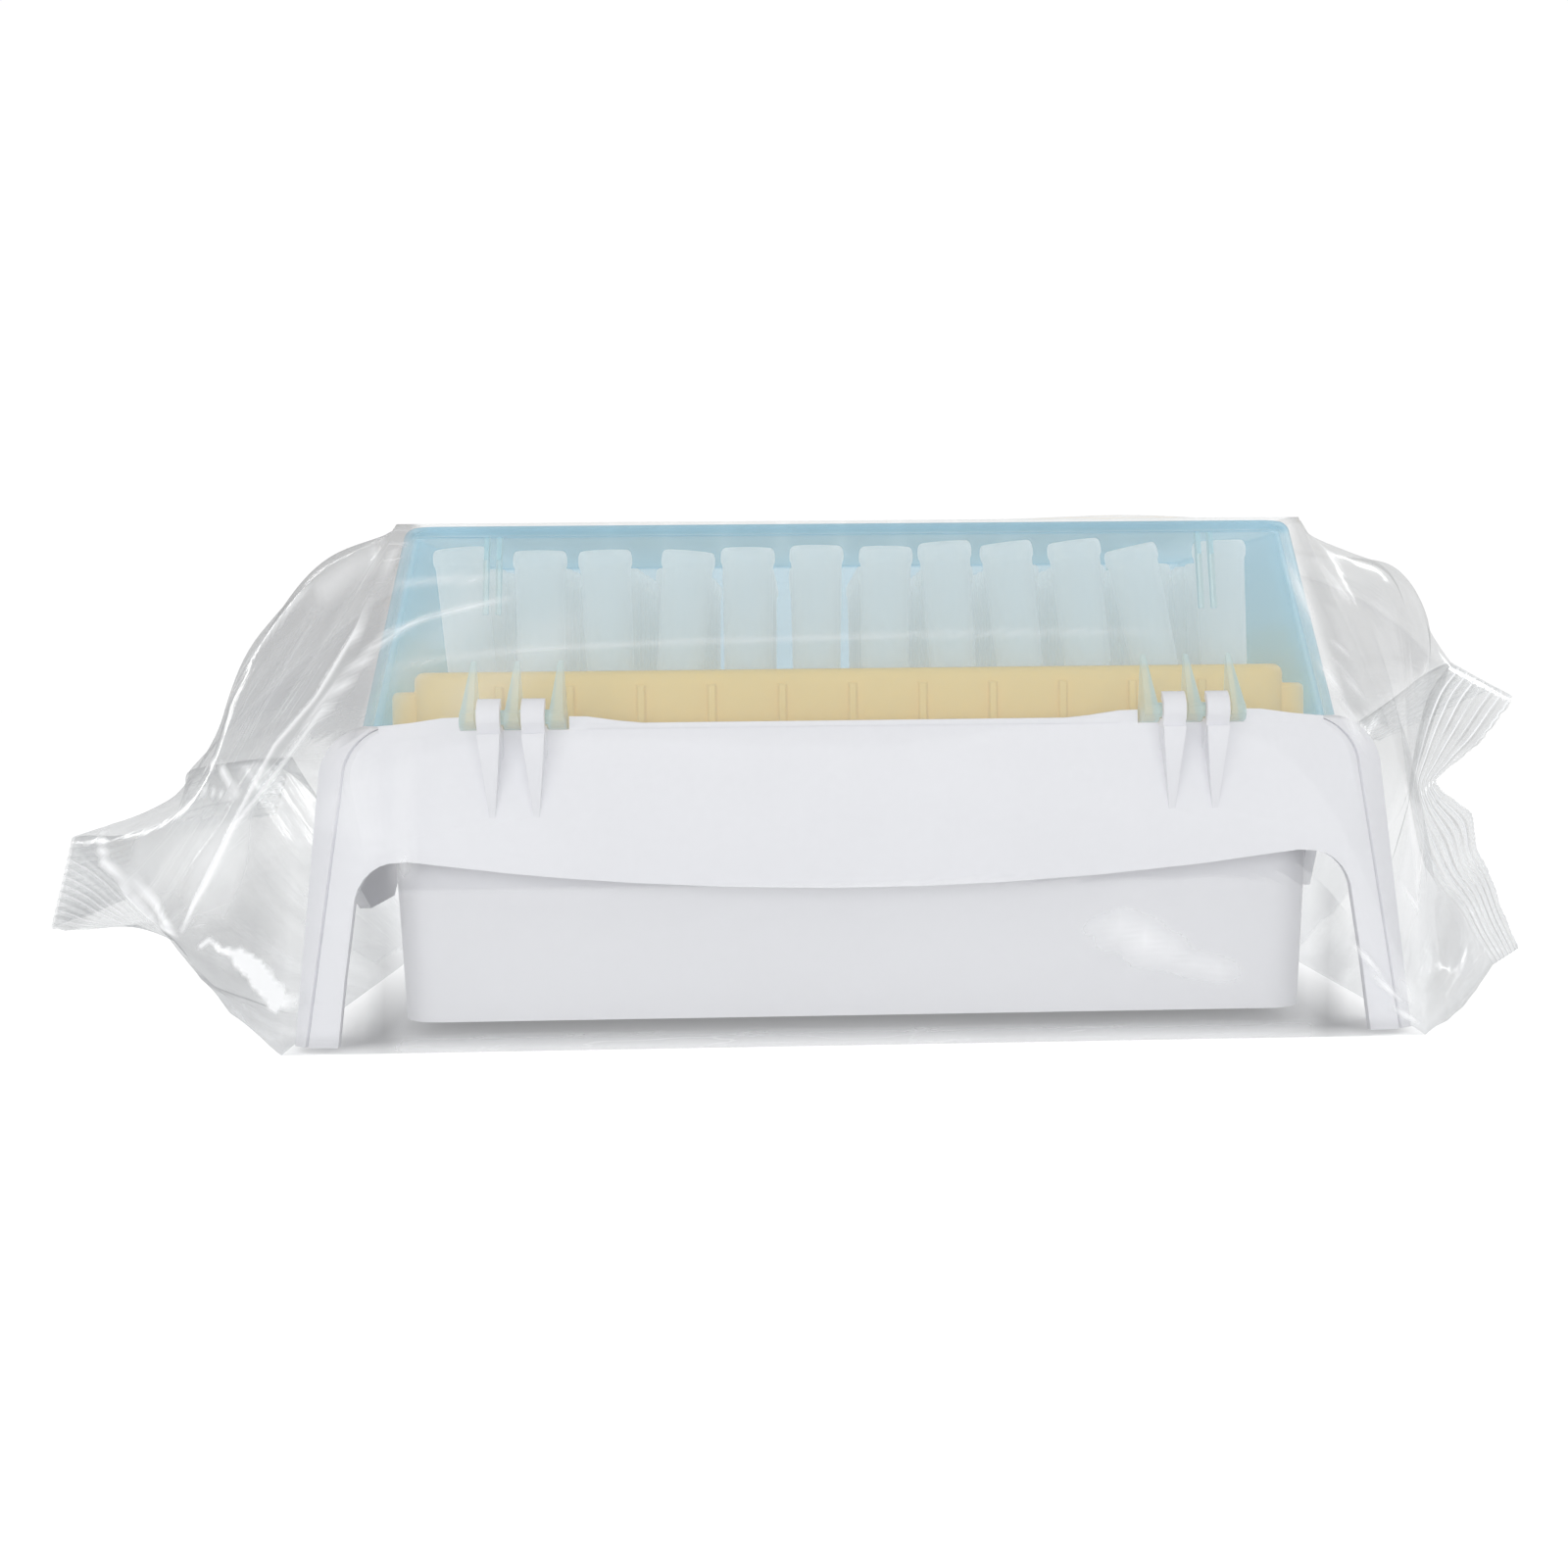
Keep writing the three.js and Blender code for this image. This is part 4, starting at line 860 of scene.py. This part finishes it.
def rough(a, b, seed):
    """Noise over two runs of numbers."""
    return np.array([
        [noise.noise(Vector((x, y, seed))) for x in np.atleast_1d(a)] for y in np.atleast_1d(b)
    ])


upper = turn_at <= HALF


def both_layers(values):
    """The upper layer's values, given to the lower layer where it lies against it."""
    values = values.copy()
    for row in values:
        row[~upper] = np.interp(ROUND - turn_at[~upper], turn_at[upper], row[upper])
    return values


normal = outward(sheet)
film_x, film_y, film_z = np.moveaxis(sheet, 2, 0)
everywhere = np.ones(film_x.shape)
# Share of the way from the box to the seal, then of the way across the crimp.
beyond = np.clip(np.where(run_at < 7, 5 - run_at, run_at - 9) / 4, 0, 1)[:, None]
crimp = np.clip(np.where(run_at < 7, 1 - run_at, run_at - 13), 0, 1)[:, None]
slack_and_shade = np.clip(beyond * 4, 0, 1) * everywhere
slack_and_shade[:, turn_at > HALF] = 0.9
# Where nothing backs it, it hangs slack too: between the legs and the tub, along the bottom edge,
# beside the lid, and off the lid's far wall. Between the legs and the tub and along the bottom edge,
# its grey is also painted shade, for the shadow seen through it.
off_gap = np.abs(np.abs(film_x) - LEG_GAP)
leg_gap_shade = 0.95 * np.clip((LEG_GAP_WIDTH - off_gap * 2) / 1.5, 0, 1) * (film_z < 18)
bottom_edge_shade = 0.6 * np.clip((2.6 - film_z) / 1.2, 0, 1)
lid_heights = (LID_FOOT + film_lift, LID_TOP + film_lift)
lid_edge = np.interp(film_z, lid_heights, (LID_FOOT_HALF[0], LID_TOP_HALF[0]))
lid_edge -= np.where(film_x < 0, 2.4, 1.4)
beside_lid = np.clip(np.abs(film_x) - lid_edge, 0, 1) * (film_z > LID_FOOT)
over_gap = np.maximum(np.maximum(leg_gap_shade, bottom_edge_shade), beside_lid)
far_wall = 0.5 * (film_y > 20) * (film_z > LID_FOOT + film_lift + 1)
slack_and_shade = np.maximum(np.maximum(slack_and_shade, over_gap), far_wall)
# How grey that is: by height on the left, in painted bands of reflected light and shade, more beside
# the lid on the right, less on a crimp's far half.
left_painted_bands = np.interp(film_z, (4, 15, 19, 27, 40), (0.7, 0.85, 0.52, 0.56, 1))
right_side = np.where((over_gap > 0) & (film_x < lid_edge + 2.5), 0.7, 0.42)
off_box = (np.abs(film_x) > LID_FOOT_HALF[0]) | (over_gap > 0)
slack_and_shade *= np.where(off_box, np.where(film_x < 0, left_painted_bands, right_side), 1)
far_crimp = both_layers(np.interp(turn_at, (8, 10.5), (0.3, 0.85)) * everywhere)
slack_and_shade *= 1 - far_crimp * np.clip(crimp * 5, 0, 1)
wave = np.zeros(slack_and_shade.shape)
for size, across, lengthwise, seed in ((0.9, 0.28, 0.4, 3), (0.35, 0.8, 0.6, 11)):
    wave += size * (0.55 - 2 * np.abs(rough(turn_at * across, run_at * lengthwise, seed)))
free = np.sin(np.pi * np.clip(beyond, 0, 1)) ** 0.8
tight = 0.07 * np.abs(rough(turn_at * 0.9, run_at * 2.5, 41)) * (1 - slack_and_shade)
sheet += normal * (wave * free + tight)[..., None]

# The crimp's ribs run along the seal and press both layers together.
rib_depth = np.zeros(slack_and_shade.shape)
for rows, edge in ((run_at <= 1, 0), (run_at >= 13, -1)):
    from_cut = np.linalg.norm(sheet[rows] - sheet[edge], axis=2)
    if edge:
        from_cut = from_cut.mean(1, keepdims=True)
    rib_depth[rows] = from_cut + 0.12 * rough(turn_at * 0.5, run_at[rows], 7)
rib_depth = both_layers(rib_depth)
pressed = np.stack([both_layers(normal[..., axis]) for axis in range(3)], axis=2)
press = np.clip(crimp * 6, 0, 1) * np.clip((1 - crimp) * 8, 0.3, 1)
off_bend = both_layers(np.interp(np.abs(turn_at - 10), (0.3, 1.2), (0.15, 1)) * everywhere)
rib_height = np.where(film_x < 0, 0.03, 0.06) * press * off_bend
sheet += pressed * (np.sin(rib_depth / RIB_PERIOD * 2 * math.pi) * rib_height)[..., None]
tooth = np.array([(0, 1, 2, 1)[i % 4] / 2 for i in range(count)])
for last, inward in ((0, 1), (-1, -1)):
    out = sheet[last] - sheet[last + 6 * inward]
    out /= np.linalg.norm(out, axis=1, keepdims=True)
    for back in range(4):
        sheet[last + back * inward] += out * (tooth[:, None] - 0.5) * TOOTH * (1 - back / 4)

# Creases and soft shines on the hinge side: how white, how wide, how far the fold stands out, and
# its run in x and z. A crease's white is a painted highlight; a soft shine is a painted highlight with no
# fold.
CREASES_AND_SHINES = (
    (0.7, 0.28, 0.35, (
        (-57.4, 61.6), (-61.6, 51.4), (-66.3, 43.1), (-71.4, 37.4), (-75.9, 27.9), (-79, 21.9), (-82.2, 15),
    )),
    (0.5, 0.28, 0.3, (
        (-53, 53), (-58.8, 49.2), (-65.2, 41.5), (-70, 34.9), (-75.9, 27.6), (-79.1, 20.7), (-82.3, 15),
    )),
    (0.12, 2.4, 0, ((-62, 49), (-68.5, 40), (-74, 32.5), (-78.5, 23), (-81, 17))),
    (1.1, 0.4, 0.3, ((-97.2, 26.4), (-94.6, 22.6), (-89.4, 19.8), (-86.5, 18.1), (-83.4, 15))),
    (0.7, 0.25, 0.25, ((-96.2, 24), (-90.5, 18.6), (-86, 15.9), (-82.8, 14.4))),
    (0.6, 0.35, 0.35, ((-68.5, 57.3), (-71.7, 53.6), (-75.1, 49.7), (-78.4, 46.7), (-80.1, 41.4))),
    (0.7, 0.28, 0.3, ((-80.1, 13), (-78.7, 14), (-76.6, 12.2))),
    (0.9, 0.3, 0.1, ((-86.6, 33.3), (-83, 34.8), (-79.9, 34.7), (-78.4, 33.8), (-77.1, 32.3), (-75.6, 31))),
    (0.6, 0.28, 0.05, ((-87, 32.2), (-76.4, 31.1))),
    (0.4, 0.35, 0.2, ((-42, 55.3), (-51.6, 53.2), (-58, 51), (-62.8, 46), (-68, 39.2))),
    (0.28, 5.5, 0, ((-92, 23), (-82, 24), (-74, 22))),
    (0.3, 2, 0, ((-59.5, 61.5), (-63, 59.5), (-68, 56))),
    (0.35, 0.4, 0.1, ((-54.3, 39), (-54.5, 24.7), (-55.8, 17.7))),
    (0.6, 0.3, 0.3, ((55.1, 62.4), (57.7, 50.1), (58.9, 45.2), (61.5, 39.9), (61.9, 36.4))),
    (0.6, 0.3, 0.3, ((72.7, 22.5), (70.6, 18.4), (68.6, 14.6), (68, 10.3), (67.4, 3.4))),
    (0.8, 0.3, 0.3, ((61.9, 10.9), (64.5, 6.9), (67.1, 3), (68.7, 1))),
    (0.5, 0.35, 0.3, ((62.7, 42.1), (60.6, 46.5), (62.1, 49.2))),
    (0.3, 0.5, 0, ((-56.9, 57.2), (-51.5, 57.7), (-45.2, 57.5))),
    (0.2, 0.35, 0, ((-56.9, 47), (-49, 48), (-39, 48.9), (-20, 49.6), (10, 50.2), (40, 50.2))),
    (0.16, 3, 0, ((-57, 44), (-51, 50), (-44, 56))),
    (0.14, 3.5, 0, ((-50, 41), (-40, 48), (-33, 52))),
    (0.3, 2.2, 0, ((29, 12.5), (33, 14), (37, 10))),
    (0.25, 1.6, 0, ((35, 13.5), (40, 9.5), (47, 8))),
    (0.25, 2.6, 0, ((-60, 36), (-61, 30), (-58, 23))),
)


def off_line(run):
    """How far each point lies from a run in x and z, and how far along the run it is."""
    best, share = np.full(slack_and_shade.shape, 1e3), np.zeros(slack_and_shade.shape)
    for k, (a, b) in enumerate(zip(run, run[1:])):
        a, b = np.array(a), np.array(b)
        flat = sheet[..., (0, 2)] - a
        t = np.clip(flat @ (b - a) / ((b - a) @ (b - a)), 0, 1)
        away = np.linalg.norm(flat - t[..., None] * (b - a), axis=2)
        share = np.where(away < best, (k + t) / (len(run) - 1), share)
        best = np.minimum(best, away)
    return best, share


facing = (outward(sheet)[..., 1] < -0.05) & (film_y < -20)
patchy = np.clip(0.75 + 1.8 * both_layers(rough(turn_at * 0.5, run_at * 7, 77)), 0.25, 1)
ribbed = np.clip(crimp * 8, 0, 1) * patchy * np.where(film_x < 0, 0.3, 1)
# The long walls are dull low down: in front of the tub, where the haze is partly painted light that
# lifts the tub out of the skirt's shade, and behind it from leg to leg.
haze_and_sheen = 0.2 * (film_z < 20) * (turn_at < 5) * (np.abs(film_x) < 56.5)
dull = np.clip((36 - film_z) / 3, 0, 1) * np.clip((88 - np.abs(film_x)) / 8, 0, 1)
haze_and_sheen += 0.4 * dull * (film_y > 20) * (film_z > 1.5)
for strength, width, fold, run in CREASES_AND_SHINES:
    away, share = off_line(run)
    fade = np.clip(np.minimum(share, 1 - share) * 8 + 0.25, 0, 1) * facing
    haze_and_sheen += strength * fade * np.exp(-((away / width) ** 2))
    sheet += normal * (fold * fade * np.exp(-((away / (width * 2)) ** 2)))[..., None]
# One broad painted glare with a ragged edge, low on the left.
away, share = off_line(((-77.5, 13), (-75, 12), (-72.6, 9.8), (-70.4, 6.6)))
ragged = np.interp(share, (0, 0.6, 1), (0.3, 1.7, 1.5)) + 0.7 * rough(turn_at * 5, run_at * 4, 19)
haze_and_sheen += 0.75 * facing * np.clip((ragged - away) * 2.5, 0, 1)

rows, count = sheet.shape[:2]
faces = [
    (r * count + c, (r + 1) * count + c, (r + 1) * count + (c + 1) % count, r * count + (c + 1) % count)
    for r in range(rows - 1) for c in range(count)
]
film_mesh = bpy.data.meshes.new("film_wrap")
film_mesh.from_pydata([at(*point) for point in (sheet - (0, 0, film_lift)).reshape(-1, 3)], [], faces)
stored = {"slack_and_shade": slack_and_shade, "haze_and_sheen": np.clip(haze_and_sheen, 0, 1), "ribbed": ribbed, "rib_depth": rib_depth}
for name, values in stored.items():
    attribute = film_mesh.attributes.new(name, "FLOAT", "POINT")
    attribute.data.foreach_set("value", values.reshape(-1).astype(np.float32))
# Unwrapped in millimetres: round the tube, and along it.
length_at = np.concatenate([[0], np.cumsum(np.linalg.norm(np.diff(sheet, axis=0), axis=2).mean(1))])
tube_round = 2 * (2 * film_front + film_top)
around_at = np.append(turn_at, ROUND) * tube_round / ROUND
flat_places = [
    (around_at[c + dc], length_at[r + dr])
    for r in range(rows - 1) for c in range(count) for dr, dc in ((0, 0), (1, 0), (1, 1), (0, 1))
]
flat_layer = film_mesh.uv_layers.new(name="flat")
flat_layer.data.foreach_set("uv", np.array(flat_places, dtype=np.float32).reshape(-1))
film_mesh.shade_smooth()
film = bpy.data.objects.new("film_wrap_sheet", film_mesh)
bpy.context.scene.collection.objects.link(film)


def clear_film():
    """Clear plastic film: loose film is greyer and streaky, its grey partly painted shade; creases scatter
    white as painted highlights, crimp ribs carry painted highlights and shade, and the white glows faintly.
    """
    material = bpy.data.materials.new("clear film")
    material.use_nodes = True
    tree = material.node_tree
    slack_and_shade, haze_and_sheen, ribbed, rib_depth = [
        node(tree, "Attribute", attribute_name=name).outputs["Fac"] for name in stored
    ]
    flat = node(tree, "UVMap", uv_map="flat").outputs[0]

    def streaks(across, lengthwise, detail):
        stretched = node(tree, "Mapping", {"Vector": flat, "Scale": (across, lengthwise, 1)}).outputs[0]
        texture = {"Vector": stretched, "Scale": 1, "Detail": detail, "Distortion": 0.5}
        return node(tree, "TexNoise", texture).outputs[0]

    def between(value, low, high, first, last):
        span = {"Value": value, "From Min": low, "From Max": high, "To Min": first, "To Max": last}
        return node(tree, "MapRange", span).outputs["Result"]

    def sums(operation, *values):
        return maths(tree, operation, *values)

    broad = streaks(0.07, 0.03, 2)
    fine = streaks(0.45, 0.05, 4)
    # The light that passes: less where the film is slack or painted with shade, and cloudy there; darker on
    # one side of each crimp rib, as painted shade.
    tint = blend(tree, slack_and_shade, (0.965, 0.97, 0.97, 1), (0.64, 0.645, 0.65, 1))
    phase = sums("MULTIPLY_ADD", rib_depth, 2 * math.pi / RIB_PERIOD, 1.6)
    rib_shade = sums("MULTIPLY", between(sums("SINE", phase), 0.2, 1, 0, 0.5), ribbed)
    cloudy = sums("SUBTRACT", between(broad, 0.35, 0.65, 0.88, 1.07), rib_shade)
    shade = blend(tree, slack_and_shade, tint, cloudy, "MULTIPLY")
    seen = node(tree, "LightPath").outputs
    passing = blend(tree, seen["Is Camera Ray"], (0.97, 0.975, 0.98, 1), shade)
    clear = node(tree, "BsdfTransparent", {"Color": passing}).outputs[0]
    # The white that creases and fine streaks scatter, with painted highlights on creases, soft shines and
    # crimp ribs, and a faint painted glow.
    vein = between(sums("ABSOLUTE", sums("SUBTRACT", fine, 0.5)), 0, 0.02, 0.2, 0)
    veins = sums("MULTIPLY", sums("MULTIPLY", vein, slack_and_shade), between(broad, 0.45, 0.6, 0, 1))
    white = node(tree, "BsdfPrincipled", {
        "Base Color": (0.93, 0.94, 0.95, 1), "Roughness": 1, "Specular IOR Level": 0,
        "Emission Color": (0.95, 0.97, 1, 1), "Emission Strength": 0.16,
    }).outputs[0]
    thin = sums("MULTIPLY_ADD", slack_and_shade, 0.14, 0.03)
    ribs = sums("SINE", sums("MULTIPLY", rib_depth, 2 * math.pi / RIB_PERIOD))
    rib_highlights = sums("MULTIPLY", between(ribs, 0.7, 1, 0, 1), ribbed)
    creases_and_highlights = sums("ADD", sums("MULTIPLY_ADD", haze_and_sheen, 0.85, thin), rib_highlights)
    scatter = sums("MINIMUM", sums("ADD", creases_and_highlights, veins), 0.9)
    past = painted_glow_past_layers(tree, clear, passing, 0.85)
    hazy = node(tree, "MixShader", {0: scatter, 1: past, 2: white}).outputs[0]
    # The shine of a thin skin.
    bump = node(tree, "Bump", {
        "Distance": 0.0006, "Strength": between(slack_and_shade, 0, 1, 0.05, 0.35),
        "Height": sums("MULTIPLY_ADD", broad, 1.5, fine),
    }).outputs[0]
    shine = node(tree, "Fresnel", {"IOR": 1.5, "Normal": bump}).outputs[0]
    gloss = tree.nodes["Principled BSDF"]
    for slot, value in (("Base Color", (1, 1, 1, 1)), ("Metallic", 1), ("Roughness", 0.15)):
        gloss.inputs[slot].default_value = value
    tree.links.new(bump, gloss.inputs["Normal"])
    mirror = sums("MINIMUM", sums("MULTIPLY_ADD", shine, 0.8, 0.01), 0.24)
    scattered = sums("MAXIMUM", seen["Is Diffuse Ray"], seen["Is Shadow Ray"])
    share = sums("MULTIPLY", mirror, sums("SUBTRACT", 1, scattered))
    glossy = node(tree, "MixShader", {0: share, 1: hazy, 2: gloss.outputs[0]}).outputs[0]
    tree.links.new(glossy, tree.nodes["Material Output"].inputs["Surface"])
    return material


dress(film, clear_film(), "clear_film", "film_wrap")

# ---------------------------------------------------------------- Studio
# Plain pale floor and backdrop, soft light from the left and above, and the camera.

YAW, PITCH_DOWN, ROLL = 0.04, 0.028, -0.011
CAMERA_PLACE = (-7.2, -310.2, 44.6)

begin()
camera_data = bpy.data.cameras.new("camera")
camera = bpy.data.objects.new("camera", camera_data)
bpy.context.scene.collection.objects.link(camera)
camera_data.lens = 48.52
camera_data.sensor_width = 36
camera_data.shift_x = -0.0622
camera_data.shift_y = -0.0319
ahead = Vector((
    math.sin(YAW) * math.cos(PITCH_DOWN), math.cos(YAW) * math.cos(PITCH_DOWN), -math.sin(PITCH_DOWN),
))
level = Vector((math.cos(YAW), -math.sin(YAW), 0))
upright = level.cross(ahead)
across = math.cos(ROLL) * level + math.sin(ROLL) * upright
above = -math.sin(ROLL) * level + math.cos(ROLL) * upright
turned = Matrix((across, above, -ahead)).transposed().to_4x4()
camera.matrix_world = Matrix.Translation(at(*CAMERA_PLACE)) @ turned
bpy.context.scene.camera = camera
bpy.context.scene.view_settings.view_transform = "Standard"

bpy.ops.mesh.primitive_plane_add(size=6, location=(0, 0, 0))
floor = bpy.context.object
floor.name = "floor"
paper = bpy.data.materials.new("white paper")
paper.use_nodes = True
tree = paper.node_tree
seen = node(tree, "LightPath").outputs
direct = maths(tree, "MAXIMUM", seen["Is Camera Ray"], seen["Is Glossy Ray"])
direct = maths(tree, "MAXIMUM", direct, seen["Is Transmission Ray"])
# The glow that keeps the paper white stops short of the box, so its own shade shows beneath it.
place = node(tree, "TexCoord").outputs["Object"]
parts = node(tree, "SeparateXYZ", {0: place}).outputs
clear_of_box = []
for axis, half in enumerate(FOOT_HALF):
    apart = maths(tree, "ABSOLUTE", maths(tree, "SUBTRACT", parts[axis], ORIGIN[axis]))
    ramp = {"Value": apart, "From Min": (half - 8) * MM, "From Max": (half + 2) * MM}
    clear_of_box.append(node(tree, "MapRange", ramp).outputs["Result"])
glow = maths(tree, "MULTIPLY", maths(tree, "MAXIMUM", *clear_of_box), 0.58)
shader = tree.nodes["Principled BSDF"]
for slot, value in (
    ("Base Color", (0.8, 0.8, 0.8, 1)), ("Roughness", 0.9), ("Specular IOR Level", 0),
    ("Emission Color", (1, 1, 1, 1)),
):
    shader.inputs[slot].default_value = value
tree.links.new(maths(tree, "MULTIPLY", direct, glow), shader.inputs["Emission Strength"])
floor.data.materials.append(paper)

world = bpy.data.worlds.new("studio")
bpy.context.scene.world = world
world.use_nodes = True
tree = world.node_tree
seen = node(tree, "LightPath").outputs
direct = maths(tree, "MAXIMUM", seen["Is Camera Ray"], seen["Is Transmission Ray"])
mirrored = maths(tree, "MULTIPLY_ADD", seen["Is Glossy Ray"], 0.1, direct)
sky = tree.nodes["Background"]
sky.inputs["Color"].default_value = (1, 1, 1, 1)
tree.links.new(maths(tree, "MULTIPLY_ADD", mirrored, 0.46, 0.56), sky.inputs["Strength"])


def lamp(name, place, aim, size, power, mirrored=False):
    data = bpy.data.lights.new(name, "AREA")
    data.shape = "RECTANGLE"
    data.size, data.size_y = size
    data.energy = power
    made = bpy.data.objects.new(name, data)
    bpy.context.scene.collection.objects.link(made)
    made.visible_glossy = mirrored
    made.location = place
    made.rotation_euler = (Vector(aim) - Vector(place)).to_track_quat("-Z", "Y").to_euler()


lamp("key", (-0.45, -0.55, 0.75), (0, 0, 0.03), (0.5, 0.5), 0.35)
lamp("fill", (0.7, -0.35, 0.45), (0, 0, 0.03), (0.5, 0.5), 0.5)
lamp("front", (-0.1, -0.9, 0.12), (0, 0, 0.02), (1.2, 0.35), 4.2)
lamp("rim left", (-0.5, 0.35, 0.35), (-0.05, 0, 0.04), (0.05, 0.5), 0.5, mirrored=True)
lamp("rim right", (0.5, 0.3, 0.4), (0.05, 0, 0.04), (0.05, 0.5), 0.6, mirrored=True)
